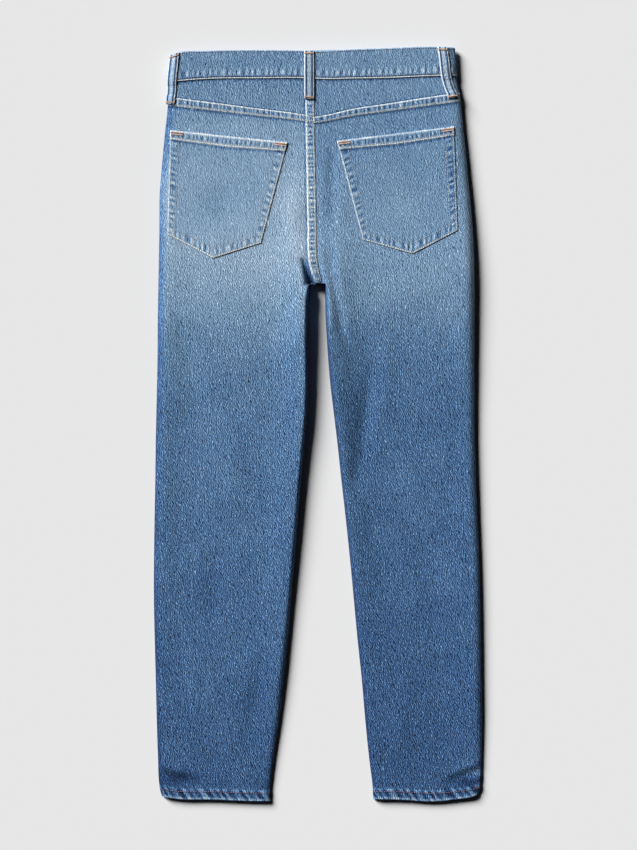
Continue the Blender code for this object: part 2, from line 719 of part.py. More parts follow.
def back_pocket(word, panel):
    """Patch pocket laid on the back panel, with a thicker hem along its opening."""
    hem_share = POCKET_HEM / 140.0
    down = (0.0, hem_share * 0.5, hem_share, hem_share + 0.008, 0.22, 0.36, 0.5, 0.64, 0.78, 0.9, 1.0)
    across = (0.0, 0.05, 0.12, 0.22, 0.36, 0.5, 0.64, 0.78, 0.9, 1.0)
    plan = pocket_plan(POCKETS[word], across, down)
    low = np.zeros(plan.shape[:2] + (3,))
    for row in range(plan.shape[0]):
        for column in range(plan.shape[1]):
            x, y = plan[row, column] * MM
            _, hit, _, _ = panel.ray_cast((x, y, 0.1), (0.0, 0.0, -1.0))
            low[row, column] = np.array(hit) / MM
    normals = face_normals(low, (5, 5))
    low = low + normals * POCKET_GAP
    thick = np.where(np.array(down) <= hem_share, POCKET_CLOTH + POCKET_HEM_RISE, POCKET_CLOTH)
    return wall(f"back_pocket_{word}", low + normals * thick[:, None, None], low, "denim_faded")


def build():
    """All pieces of the jeans, under one empty."""
    for old in list(bpy.data.objects):
        bpy.data.objects.remove(old, do_unlink=True)
    for side, word in ((-1, "left"), (1, "right")):
        panel = back_leg(side, word)
        yoke(side, word)
        front_leg(side, word)
        pocket_facing(side, word)
        front_loop(word, side * FRONT_LOOP_PLACE)
        bpy.context.view_layer.update()
        back_pocket(word, panel)
    waistband()
    back_loop("left", -1, LEFT_LOOP, LEFT_LOOP_FOOT)
    back_loop("centre", -1, CENTRE_LOOP, CENTRE_LOOP_FOOT)
    back_loop("right", 1, RIGHT_LOOP, RIGHT_LOOP_FOOT, RIGHT_LOOP_LEAN)
    fly_flap()
    zip_parts()
    waist_button()
    whole = bpy.data.objects.new("jeans", None)
    bpy.context.collection.objects.link(whole)
    for piece in list(bpy.context.collection.objects):
        if piece.type == "MESH":
            piece.parent = whole


build()
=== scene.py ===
"""Straight jeans laid flat with the back side up: the cloth, the sewing and the light.

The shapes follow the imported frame: each piece is a thin wall on the same section lines as its
solid, with finer creases, seam puckers, stitches and a worn denim finish. Sizes are in
millimetres and become metres when a mesh is made.
"""
import logging
from dataclasses import dataclass, field
from enum import Enum

import bpy
import numpy as np
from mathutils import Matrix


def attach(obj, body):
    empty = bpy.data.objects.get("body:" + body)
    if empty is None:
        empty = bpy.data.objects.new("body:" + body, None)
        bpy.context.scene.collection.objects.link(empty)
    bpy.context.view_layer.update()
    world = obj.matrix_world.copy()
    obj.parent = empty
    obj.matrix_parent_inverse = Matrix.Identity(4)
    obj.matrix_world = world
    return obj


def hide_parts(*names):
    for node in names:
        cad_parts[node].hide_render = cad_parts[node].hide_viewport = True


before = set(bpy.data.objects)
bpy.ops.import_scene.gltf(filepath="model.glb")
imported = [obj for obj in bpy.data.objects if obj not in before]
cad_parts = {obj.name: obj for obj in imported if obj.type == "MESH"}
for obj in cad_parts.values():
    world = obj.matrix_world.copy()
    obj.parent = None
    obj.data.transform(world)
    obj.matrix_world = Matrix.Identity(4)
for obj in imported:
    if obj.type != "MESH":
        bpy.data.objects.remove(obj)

MM = 0.001
LOG = logging.getLogger("jeans")


class Side(Enum):
    """Which half of the garment, as the sign of its side along X."""

    LEFT = -1
    RIGHT = 1

    @property
    def word(self) -> str:
        """Name used in the frame's nodes."""
        return self.name.lower()


class Table:
    """A short table of named columns, read on a smooth curve through its rows."""

    def __init__(self, names: str, rows: tuple) -> None:
        """Keeps the rows in order of their first column.

        Args:
            names: column names, parted by spaces.
            rows: one tuple of numbers for each row.
        """
        self.names = names.split()
        self.rows = np.array(sorted(rows), dtype=float)

    def at(self, name: str, place: np.ndarray) -> np.ndarray:
        """Cubic Hermite curve through one column, read where the first column equals place.

        Args:
            name: the column's name.
            place: values of the first column.

        Returns:
            The column's values there.
        """
        knots = self.rows[:, 0]
        values = self.rows[:, self.names.index(name)]
        slopes = np.gradient(values, knots)
        spot = np.clip(place, knots[0], knots[-1])
        row = np.clip(np.searchsorted(knots, spot, side="right") - 1, 0, len(knots) - 2)
        span = knots[row + 1] - knots[row]
        t = (spot - knots[row]) / span
        start = values[row] * (1 + 2 * t) * (1 - t) ** 2 + slopes[row] * span * t * (1 - t) ** 2
        end = values[row + 1] * t * t * (3 - 2 * t) - slopes[row + 1] * span * t * t * (1 - t)
        return start + end


OUTLINE = Table("height left_out right_out", (
    (501.0, -194.0, 180.5), (484.8, -195.5, 181.8), (458.0, -198.0, 183.2), (431.6, -198.6, 186.0),
    (405.0, -199.8, 190.0), (378.4, -203.2, 193.3), (338.5, -207.6, 198.3), (311.9, -210.0, 201.0),
    (258.7, -210.6, 205.4), (205.0, -211.6, 207.6), (139.0, -212.8, 207.8), (85.8, -213.2, 207.8),
    (32.6, -214.3, 208.0), (-20.6, -215.5, 208.4), (-73.8, -216.2, 210.0), (-127.0, -217.2, 212.0),
    (-180.2, -218.0, 214.2), (-233.4, -218.1, 215.6), (-286.6, -217.0, 216.6),
    (-339.8, -215.6, 217.2), (-393.0, -214.3, 217.9), (-446.2, -212.6, 217.2),
    (-478.0, -211.4, 216.8), (-490.0, -209.8, 215.6), (-501.0, -206.0, 211.5),
))

INSEAMS = Table("height left_in right_in", (
    (190.0, -10.6, 9.2), (178.9, -10.7, 9.4), (152.3, -12.0, 9.8), (112.4, -13.1, 11.8),
    (59.2, -12.6, 15.8), (6.0, -14.8, 22.0), (-20.6, -17.3, 25.2), (-73.8, -22.2, 31.0),
    (-127.0, -26.6, 37.0), (-180.2, -31.0, 42.6), (-233.4, -35.6, 47.6), (-286.6, -40.2, 52.6),
    (-339.8, -45.6, 58.2), (-393.0, -51.6, 62.8), (-446.2, -59.2, 68.2), (-480.0, -62.8, 72.4),
    (-501.0, -63.4, 73.4),
))

SEAT_SEAM = Table("height across", (
    (501.0, -4.7), (431.0, -4.6), (340.0, -3.2), (259.0, -1.7), (224.0, -1.2), (208.0, 1.0),
    (196.0, 4.0), (187.0, 6.2),
))

THICKNESS = Table("height lift middle outer_rise inner_rise outer_round inner_round", (
    (501.0, 3.6, 9.6, 0.0, 0.0, 12.0, 12.0),
    (458.0, 3.6, 9.8, 0.0, 0.0, 12.0, 12.0),
    (431.0, 3.6, 9.9, 0.2, 0.0, 12.5, 12.0),
    (405.0, 1.8, 10.0, 0.4, 0.0, 13.0, 12.0),
    (375.0, 0.0, 10.2, 0.7, 0.2, 13.0, 12.0),
    (330.0, 0.0, 11.0, 0.8, 0.4, 13.0, 12.0),
    (260.0, 0.0, 12.4, 0.8, 1.6, 13.0, 12.0),
    (200.0, 0.0, 13.6, 0.8, 4.2, 13.0, 10.0),
    (150.0, 0.0, 13.0, 1.0, 6.4, 13.0, 6.0),
    (60.0, 0.0, 10.8, 1.2, 6.0, 12.0, 5.0),
    (-60.0, 0.0, 9.0, 1.4, 4.4, 11.0, 5.0),
    (-200.0, 0.0, 8.0, 1.4, 2.8, 10.0, 6.0),
    (-340.0, 0.0, 7.4, 1.2, 1.2, 10.0, 8.0),
    (-440.0, 0.0, 6.3, 0.6, 0.4, 10.0, 9.0),
    (-501.0, 0.0, 5.0, 0.1, 0.1, 9.0, 9.0),
))

WAIST_LINES = Table("across band_top band_foot yoke_foot", (
    (-200.0, 488.0, 453.5, 434.8), (-184.0, 493.5, 455.0, 432.6), (-150.0, 495.4, 457.6, 428.3),
    (-80.0, 496.5, 458.6, 419.2), (-20.0, 495.8, 458.8, 411.2), (-4.0, 495.6, 458.2, 408.2),
    (10.0, 495.8, 457.6, 410.4), (45.0, 497.4, 458.2, 418.4), (90.0, 499.0, 459.0, 425.3),
    (165.0, 500.8, 462.0, 437.0), (188.0, 499.6, 462.4, 440.4),
))

HEM_LINES = Table("across hem_foot", (
    (-218.0, -488.0), (-208.0, -493.6), (-190.0, -497.0), (-140.0, -498.2), (-90.0, -500.2),
    (-62.0, -500.4), (73.0, -497.8), (110.0, -498.4), (155.0, -500.6), (185.0, -497.6),
    (205.0, -494.4), (219.0, -488.6),
))

FOLDS = Table("from_across from_height to_across to_height half_width rise", (
    (18.6, 372.0, 19.0, 257.0, 7.0, -1.1), (13.0, 240.0, 34.0, 110.0, 7.5, -2.8),
    (76.0, 84.0, 46.0, -104.0, 13.0, -2.0), (96.0, 120.0, 70.0, -60.0, 15.0, 1.0),
    (-26.0, 330.0, -40.0, 205.0, 12.0, 0.9), (-128.0, 318.0, -131.0, 262.0, 15.0, -0.8),
    (-186.0, 140.0, -152.0, -10.0, 16.0, -1.2), (-104.0, 20.0, -118.0, -140.0, 18.0, 0.9),
    (-138.0, -160.0, -134.0, -262.0, 14.0, -1.3), (-72.0, -300.0, -94.0, -440.0, 12.0, -1.4),
    (-170.0, -290.0, -160.0, -420.0, 16.0, 0.8), (-216.0, -462.0, -168.0, -474.0, 6.0, -2.0),
    (-214.0, -452.0, -172.0, -462.0, 5.0, 0.9), (146.0, -150.0, 158.0, -292.0, 15.0, -1.1),
    (120.0, -330.0, 104.0, -450.0, 13.0, 0.8), (190.0, 60.0, 182.0, -90.0, 13.0, -0.9),
    (219.0, -458.0, 172.0, -474.0, 6.0, -2.1), (217.0, -448.0, 180.0, -460.0, 5.0, 0.9),
))

# Fading by height for each half. The left half's paler values are partly faded dye and partly painted light, as the
# lamp on the upper left lights that half more.
FADE_AND_SIDE_LIGHT = Table("height left right", (
    (501.0, 0.555, 0.575), (458.0, 0.53, 0.54), (418.0, 0.565, 0.525), (345.0, 0.645, 0.55),
    (272.0, 0.675, 0.585), (212.0, 0.665, 0.585), (165.0, 0.615, 0.555), (112.0, 0.515, 0.455),
    (59.0, 0.465, 0.40), (6.0, 0.435, 0.372), (-100.0, 0.402, 0.366), (-233.0, 0.367, 0.330),
    (-366.0, 0.332, 0.302), (-446.0, 0.31, 0.295), (-501.0, 0.29, 0.29),
))


def quarter_turn(count: int = 20) -> np.ndarray:
    """Angles from nought to a right angle."""
    return np.linspace(0, np.pi / 2, count)


def soft_bell(value: np.ndarray, width: float) -> np.ndarray:
    """Bell curve, one at nought."""
    return np.exp(-(value / width) ** 2)


def ramp(value: np.ndarray, low: float, high: float) -> np.ndarray:
    """Smooth step from nought at low to one at high."""
    t = np.clip((value - low) / (high - low), 0, 1)
    return t * t * (3 - 2 * t)


def uneven(value: np.ndarray, period: float, seed: float) -> np.ndarray:
    """Sum of four sines of unlike periods, from about minus one to one, that never looks regular."""
    turn = 2 * np.pi * value / period
    total = np.sin(turn + seed) + 0.7 * np.sin(turn * 0.618 + 2.3 * seed)
    total = total + 0.55 * np.sin(turn * 1.37 + 4.1 * seed) + 0.4 * np.sin(turn * 0.283 + seed * 0.7)
    return total / 2.0


@dataclass(frozen=True)
class LaidCloth:
    """The laid garment's surface: section lines at each level, round the side and over the top."""

    band_top: float = 497.0
    band_foot: float = 458.0
    yoke_foot: float = 418.0
    level_again: float = 330.0
    crotch: float = 187.0
    leg_level: float = -430.0
    hem_foot: float = -497.5
    turn_under: float = 9.0
    under_round: float = 4.0
    widest_share: float = 0.42
    fork_round: float = 3.2
    fork_length: float = 28.0
    fork_room: float = 1.6
    fork_draw: float = 12.0
    dive_start: float = 238.0
    dive_drop: float = 2.5
    fork_edge: float = 2.0
    fork_floor: float = 1.7
    cleft_head: tuple = (-20.6, 221.0)
    cleft_foot: float = -9.6
    cleft_depth: float = 10.0
    cleft_fade: float = 5.0
    half_gap: float = 0.15
    seam_gap: float = 0.3
    seat_brow: int = 148
    leg_brow: int = 129

    def fold_rise(self, across: np.ndarray, height: np.ndarray) -> np.ndarray:
        """Sum of the soft troughs and ridges.

        Each is a bell curve across its run, faded past the middle three fifths of its length.
        """
        total = np.zeros_like(across)
        for x0, y0, x1, y1, half_width, rise in FOLDS.rows:
            run = np.array((x1 - x0, y1 - y0))
            length = np.hypot(*run)
            along = ((across - x0) * run[0] + (height - y0) * run[1]) / length
            aside = ((across - x0) * run[1] - (height - y0) * run[0]) / length
            past = np.maximum(np.abs(along - length / 2) - length * 0.28, 0) / (length * 0.22)
            total += rise * np.exp(-(aside / half_width) ** 2) * np.exp(-(past ** 2) * 1.6)
        return total - self.cleft(across, height)

    def cleft(self, across: np.ndarray, height: np.ndarray) -> np.ndarray:
        """Depth of the cleft left of the seat seam: a bell curve that deepens down to the fork."""
        opened = np.clip((self.cleft_head[1] - height) / (self.cleft_head[1] - self.crotch), 0, 1)
        closed = np.clip((height - self.crotch + self.cleft_fade) / self.cleft_fade, 0, 1)
        middle = self.cleft_head[0] + opened * (self.cleft_foot - self.cleft_head[0])
        bell = np.exp(-((across - middle) / (2.6 + 2.2 * opened)) ** 2)
        return self.cleft_depth * opened ** 0.7 * closed * bell

    def bent_height(self, level: np.ndarray, across: np.ndarray) -> np.ndarray:
        """Real height of level rows, which bend to the waist, yoke and hem lines.

        Args:
            level: levels, of the same shape as across.
            across: places along X.

        Returns:
            Heights, straight in level between one named line and the next.
        """
        level = level + 0 * across
        levels = np.array((self.hem_foot, self.leg_level, self.level_again, self.yoke_foot,
                           self.band_foot, self.band_top))
        flat = 0 * across
        lines = np.stack((
            HEM_LINES.at("hem_foot", across), flat + self.leg_level, flat + self.level_again,
            WAIST_LINES.at("yoke_foot", across), WAIST_LINES.at("band_foot", across),
            WAIST_LINES.at("band_top", across),
        ))
        low = np.clip(np.searchsorted(levels, level, side="right") - 1, 0, len(levels) - 2)
        share = (level - levels[low]) / (levels[low + 1] - levels[low])
        below = np.take_along_axis(lines, low[None], axis=0)[0]
        above = np.take_along_axis(lines, low[None] + 1, axis=0)[0]
        return below + share * (above - below)

    def front_height(self, side: Side, level: np.ndarray, across: np.ndarray) -> np.ndarray:
        """Real height of level rows on the underside, straight from side to side above the fork."""
        ends = [self.side_edge(one, level) - one.value * self.turn_under for one in Side]
        low = self.bent_height(level, ends[0] + 0 * across)
        high = self.bent_height(level, ends[1] + 0 * across)
        straight = low + (high - low) * (across - ends[0]) / (ends[1] - ends[0])
        return np.where(level < self.crotch, self.bent_height(level, across), straight)

    def side_edge(self, side: Side, level: np.ndarray) -> np.ndarray:
        """Where the outer edge of one half lies."""
        return OUTLINE.at(f"{side.word}_out", level)

    def lift(self, level: np.ndarray) -> np.ndarray:
        """How high the underside is held off the surface."""
        return np.maximum(THICKNESS.at("lift", level), 0)

    def inner_edge(self, side: Side, level: np.ndarray) -> np.ndarray:
        """Where one half ends: at the seat seam, or round the fork to the leg's inner edge."""
        seam = SEAT_SEAM.at("across", level)
        spread = np.clip((self.crotch - level) / self.fork_round, 0, 1)
        leg = INSEAMS.at(f"{side.word}_in", level)
        below = seam + (leg - seam) * np.sqrt(1 - (1 - spread) ** 2)
        return np.where(level >= self.crotch, seam + side.value * self.half_gap, below)

    def top(self, side: Side, level: np.ndarray, inward: np.ndarray) -> np.ndarray:
        """Height of the upper cloth at distances inward from the outer edge."""
        edge = self.side_edge(side, level)
        width = np.abs(INSEAMS.at(f"{side.word}_in", level) - edge)
        outer_far = inward - THICKNESS.at("outer_round", level)
        inner_far = width - inward - THICKNESS.at("inner_round", level)
        body = THICKNESS.at("middle", level) + THICKNESS.at("outer_rise", level) * soft_bell(outer_far, 20.0)
        body = body + THICKNESS.at("inner_rise", level) * soft_bell(inner_far, 24.0)
        across = edge - side.value * inward
        height = self.bent_height(level, across)
        return body + self.fold_rise(across, height) + self.ripple(across, height)

    def ripple(self, across: np.ndarray, height: np.ndarray) -> np.ndarray:
        """Slight unevenness of laid cloth: two slanted sets of long sines."""
        first = uneven(across * 0.9 + height * 0.25, 74.0, 0.6) * 0.22
        second = uneven(height * 0.8 - across * 0.3, 118.0, 1.9) * 0.22
        return (first + second) * ramp(height, -500, -400) * (1 - ramp(height, 380, 430))

    def lines(self, side: Side, levels: np.ndarray) -> tuple:
        """Section lines of one half, one row for each level.

        From the hidden edge: a flat run, a quarter ellipse up to the widest point, another up to
        the top, the top itself, a quarter ellipse down to the inner end and, below the fork, a
        last quarter ellipse and flat run under the inseam.

        Args:
            side: the half.
            levels: one level for each line.

        Returns:
            Places across and heights, as two arrays of lines.
        """
        level = np.asarray(levels, dtype=float)[:, None]
        edge = self.side_edge(side, level)
        width = np.abs(self.inner_edge(side, level) - edge)
        lift = self.lift(level)
        outer_round = THICKNESS.at("outer_round", level)
        inner_round = THICKNESS.at("inner_round", level)
        widest = lift + self.widest_share * (THICKNESS.at("middle", level) - lift)
        dive = np.clip((self.dive_start - level) / (self.dive_start - self.crotch), 0, 1) ** 1.6
        grown = np.clip((self.crotch - level) / self.fork_length, 0, 1)
        leg = level < self.crotch
        inner_round = np.where(leg, self.fork_edge + grown * (inner_round - self.fork_edge), inner_round)
        turn = quarter_turn()[None, :]
        flat_in = np.array((self.turn_under, self.under_round + 0.2))[None, :] + 0 * level
        low_in = self.under_round * (1 - np.sin(turn)) + 0 * level
        low_up = lift + (widest - lift) * (1 - np.cos(turn))
        rise_in = outer_round * (1 - np.cos(turn))
        rise_up = widest + (self.top(side, level, rise_in) - widest) * np.sin(turn)
        top_in = outer_round + (width - inner_round - outer_round) * np.linspace(0, 1, 90)[None, :]
        top_up = self.top(side, level, top_in)
        fall_in = width - inner_round * (1 - np.cos(turn[:, ::-1]))
        fall_top = self.top(side, level, fall_in)
        foot = np.where(leg, self.fork_floor + grown * (widest - self.fork_floor),
                        fall_top[:, -1:] - dive * self.dive_drop)
        fall_up = foot + (fall_top - foot) * np.sin(turn[:, ::-1])
        round_in = 0.3 + grown * (self.under_round - 0.3)
        under_in = width - np.where(leg, round_in * (1 - np.cos(turn)), 0)
        under_up = np.where(leg, lift + (foot - lift) * (1 - np.sin(turn)), foot)
        last_in = width - np.where(leg, self.inseam_turn(level), 0)
        last_up = np.where(leg, lift, foot)
        inward = np.concatenate((flat_in, low_in, rise_in[:, 1:], top_in[:, 1:], fall_in[:, 1:],
                                 under_in[:, 1:], last_in), axis=1)
        upward = np.concatenate((flat_in * 0 + lift, low_up, rise_up[:, 1:], top_up[:, 1:],
                                 fall_up[:, 1:], under_up[:, 1:], last_up), axis=1)
        return edge - side.value * inward, upward

    def inseam_turn(self, level: np.ndarray) -> np.ndarray:
        """How far the back panel turns under at the inseam."""
        grown = np.clip((self.crotch - level) / self.fork_length, 0, 1)
        return 1.5 + grown * (self.turn_under - 1.5)

    def grid(self, side: Side, levels: np.ndarray, places: "Places") -> tuple:
        """Points of one half's outer face and their distances along the section lines.

        Args:
            side: the half.
            levels: one level for each row.
            places: rule that gives each row's distances from its length.

        Returns:
            Points as rows, columns and coordinates, distances, and each row's length.
        """
        across, upward = self.lines(side, levels)
        steps = np.hypot(np.diff(across, axis=1), np.diff(upward, axis=1))
        run = np.concatenate((np.zeros((len(steps), 1)), np.cumsum(steps, axis=1)), axis=1)
        length = run[:, -1]
        rows = np.asarray(levels, dtype=float)
        moved = np.abs(self.inner_edge(side, rows) - SEAT_SEAM.at("across", rows))
        grown = np.clip((self.crotch - rows) / self.fork_length, 0, 1)
        drawn = 1 - np.clip(moved, 0, 18) * (1 - grown) / 31.0
        brow = np.where(rows < self.crotch, run[:, self.leg_brow], run[:, self.seat_brow])
        spots = places.along(length, brow, drawn)
        x = np.stack([np.interp(s, r, a) for s, r, a in zip(spots, run, across)])
        z = np.stack([np.interp(s, r, u) for s, r, u in zip(spots, run, upward)])
        level = np.asarray(levels, dtype=float)[:, None] + 0 * x
        return np.stack((x, self.bent_height(level, x), z), axis=2), spots, length


@dataclass(frozen=True)
class Places:
    """Distances of a grid's columns along a section line, closest together at both edges."""

    outer: tuple
    inner: tuple
    middle: int
    tail: int = 14

    def along(self, length: np.ndarray, brow: np.ndarray, drawn: np.ndarray) -> np.ndarray:
        """Outer columns from the start, inner ones back from the brow, the rest evenly between.

        Args:
            length: length of each row.
            brow: distance at which each row starts to turn under, at its inner end.
            drawn: share by which each row's inner columns are drawn together.

        Returns:
            Distances, row by row.
        """
        outer = np.array(self.outer)[None, :] + 0 * length[:, None]
        inner = brow[:, None] - np.array(self.inner)[None, ::-1] * drawn[:, None]
        share = np.linspace(0, 1, self.middle + 2)[None, 1:-1]
        middle = outer[:, -1:] + share * (inner[:, :1] - outer[:, -1:])
        turned = np.linspace(0, 1, self.tail + 1)[None, 1:]
        tail = inner[:, -1:] + turned * (length[:, None] - inner[:, -1:])
        return np.concatenate((outer, middle, inner, tail), axis=1)


@dataclass(frozen=True)
class Picked:
    """Fixed distances along a section line, counted from its end where they are negative."""

    spots: tuple

    def along(self, length: np.ndarray, brow: np.ndarray, drawn: np.ndarray) -> np.ndarray:
        """The same distances in every row, whatever its brow."""
        spots = np.array(self.spots, dtype=float)
        if spots.ndim == 1:
            spots = spots[None, :] + 0 * length[:, None]
        return np.where(spots < 0, length[:, None] + spots, spots)


EDGE_STEPS = tuple(np.concatenate((np.linspace(0, 4.8, 3), np.arange(6.0, 41.0, 1.4))))
SEAM_STEPS = tuple(np.concatenate((
    (0.5, 1.2, 1.9, 3.0, 4.4, 5.8, 7.2, 8.6, 9.6, 10.4, 11.1, 11.8, 12.6), np.arange(14.0, 31.0, 1.5),
)))
PANEL_PLACES = Places(EDGE_STEPS, SEAM_STEPS, 88)


def normals_of(grid: np.ndarray, at: tuple, up: float = 1.0) -> np.ndarray:
    """Unit normals of a grid, from the cross product of its row and column differences.

    Args:
        grid: rows, columns and coordinates.
        at: row and column where the normal's upward sign is known.
        up: that sign.

    Returns:
        One unit vector for each point.
    """
    along = np.gradient(grid, axis=0)
    across = np.gradient(grid, axis=1)
    normals = np.cross(across, along)
    normals /= np.maximum(np.linalg.norm(normals, axis=2, keepdims=True), 1e-9)
    return normals * np.sign(normals[at][2]) * up


def ladder(along: np.ndarray, period: float, seed: float) -> np.ndarray:
    """Uneven run of ridges and gaps along a seam, from minus one to one.

    A sine whose phase wanders, sharpened a little, with ridges of unlike strength.
    """
    turn = 2 * np.pi * along / period
    wander = 1.1 * np.sin(turn * 0.31 + seed) + 0.8 * np.sin(turn * 0.173 + 2.7 * seed)
    wave = np.tanh(1.7 * np.sin(turn + wander))
    return wave * (0.72 + 0.28 * np.sin(turn * 0.43 + 5.1 * seed))


@dataclass(frozen=True)
class Lap:
    """A sewn strip of doubled cloth: its raised form and how it has worn."""

    width: float
    rise: float = 0.9
    period: float = 6.4
    stitch_in: float = 1.9
    pucker: float = 0.28
    seed: float = 0.0

    def form(self, far: np.ndarray, along: np.ndarray) -> np.ndarray:
        """Height over the panel: a rounded step, two stitch grooves and cross ridges between.

        Args:
            far: distance in from the strip's free edge.
            along: distance along the strip.

        Returns:
            Rise at each point.
        """
        step = ramp(far, -0.4, 0.9) * (1 - ramp(far, self.width - 0.7, self.width + 0.8))
        grooves = soft_bell(far - self.stitch_in, 0.7) + soft_bell(far - self.width + self.stitch_in, 0.7)
        between = soft_bell(far - self.width / 2, self.width * 0.30)
        return step * (self.rise - 0.22 * grooves + self.pucker * between * ladder(along, self.period, self.seed))

    def wear(self, far: np.ndarray, along: np.ndarray) -> np.ndarray:
        """Paler edges and ridges, darker beside the strip and between its ridges."""
        steps = ladder(along, self.period, self.seed)
        edges = soft_bell(far - 0.6, 0.9) + soft_bell(far - self.width + 0.6, 0.9)
        between = soft_bell(far - self.width / 2, self.width * 0.34)
        beside = soft_bell(far + 1.5, 1.1) + soft_bell(far - self.width - 1.7, 1.2)
        return edges * (0.44 + 0.08 * steps) + between * (0.34 * steps - 0.02) - 0.24 * beside


@dataclass
class Skin:
    """A piece's outer and inner face as grids of points, and what its finish reads there."""

    outer: np.ndarray
    inner: np.ndarray
    spread: np.ndarray
    fade: np.ndarray
    wear: np.ndarray

    def mesh(self, name: str) -> bpy.types.Mesh:
        """Closed wall between the two faces.

        The cells of both grids and a rim of quads join into one shell. The map named cloth holds real distances in
        metres; fade, faded dye with painted shading, and wear, which also holds some painted shade, are numbers at each
        point.

        Args:
            name: the mesh's name.

        Returns:
            The mesh, with its faces pointing out.
        """
        rows, columns = self.outer.shape[:2]
        count = rows * columns
        index = np.arange(count).reshape(rows, columns)
        cells = np.stack((index[:-1, :-1], index[:-1, 1:], index[1:, 1:], index[1:, :-1]), axis=-1)
        cells = cells.reshape(-1, 4)
        rim = np.concatenate((index[0, :], index[1:, -1], index[-1, -2::-1], index[-2:0:-1, 0]))
        after = np.roll(rim, -1)
        sides = np.stack((after, rim, rim + count, after + count), axis=-1)
        faces = np.concatenate((cells, cells[:, ::-1] + count, sides))
        middle = (rows // 2, columns // 2)
        facing = np.cross(np.gradient(self.outer, axis=1)[middle], np.gradient(self.outer, axis=0)[middle])
        if facing @ (self.outer - self.inner)[middle] < 0:
            faces = faces[:, ::-1]
        points = np.concatenate((self.outer.reshape(-1, 3), self.inner.reshape(-1, 3)))
        mesh = mesh_of(name, points, faces)
        spread = np.tile(self.spread.reshape(-1, 2), (2, 1)) * MM
        layer = mesh.uv_layers.new(name="cloth")
        layer.data.foreach_set("uv", spread[faces.ravel()].ravel().astype(np.float32))
        for word, values, inside in (("fade", self.fade, -0.06), ("wear", self.wear, 0.0)):
            told = mesh.attributes.new(word, "FLOAT", "POINT")
            both = np.concatenate((values.ravel(), values.ravel() * (word == "fade") + inside))
            told.data.foreach_set("value", both.astype(np.float32))
        return mesh

    def trace(self, rows: np.ndarray, columns: np.ndarray, above: float) -> np.ndarray:
        """Points on the outer face at fractional rows and columns, moved out by a distance.

        Args:
            rows: row numbers, not always whole.
            columns: column numbers, not always whole.
            above: distance out from the face.

        Returns:
            Points and unit normals, side by side in six columns.
        """
        rows, columns = np.broadcast_arrays(np.asarray(rows, float), np.asarray(columns, float))
        low_row = np.clip(np.floor(rows).astype(int), 0, self.outer.shape[0] - 2)
        low_column = np.clip(np.floor(columns).astype(int), 0, self.outer.shape[1] - 2)
        r = (rows - low_row)[:, None]
        c = (columns - low_column)[:, None]
        normals = self.outer - self.inner
        normals = normals / np.linalg.norm(normals, axis=2, keepdims=True)
        found = []
        for grid in (self.outer, normals):
            a = grid[low_row, low_column] * (1 - c) + grid[low_row, low_column + 1] * c
            b = grid[low_row + 1, low_column] * (1 - c) + grid[low_row + 1, low_column + 1] * c
            found.append(a * (1 - r) + b * r)
        found[1] /= np.linalg.norm(found[1], axis=1, keepdims=True)
        return np.concatenate((found[0] + found[1] * above, found[1]), axis=1)


def mesh_of(name: str, points: np.ndarray, faces: np.ndarray, smooth: bool = True) -> bpy.types.Mesh:
    """Mesh of points in millimetres and faces that all have the same number of corners."""
    mesh = bpy.data.meshes.new(name)
    mesh.vertices.add(len(points))
    mesh.vertices.foreach_set("co", (points * MM).ravel().astype(np.float32))
    mesh.loops.add(faces.size)
    mesh.loops.foreach_set("vertex_index", faces.ravel().astype(np.int32))
    mesh.polygons.add(len(faces))
    mesh.polygons.foreach_set("loop_start", np.arange(0, faces.size, faces.shape[1], dtype=np.int32))
    mesh.polygons.foreach_set("use_smooth", np.full(len(faces), smooth))
    mesh.update(calc_edges=True)
    return mesh


def place(name: str, mesh: bpy.types.Mesh, look: bpy.types.Material) -> bpy.types.Object:
    """Object of a mesh at the origin, in the scene and with one material."""
    mesh.materials.append(look)
    made = bpy.data.objects.new(name, mesh)
    bpy.context.collection.objects.link(made)
    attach(made, "root")
    LOG.info("%s: %d faces", name, len(mesh.polygons))
    return made


def raised(grid: np.ndarray, normals: np.ndarray, rise: np.ndarray) -> np.ndarray:
    """Points moved up by a rise, which fades away where the cloth faces sideways or down."""
    out = grid.copy()
    out[..., 2] += rise * np.clip((normals[..., 2] - 0.1) / 0.4, 0, 1)
    return out


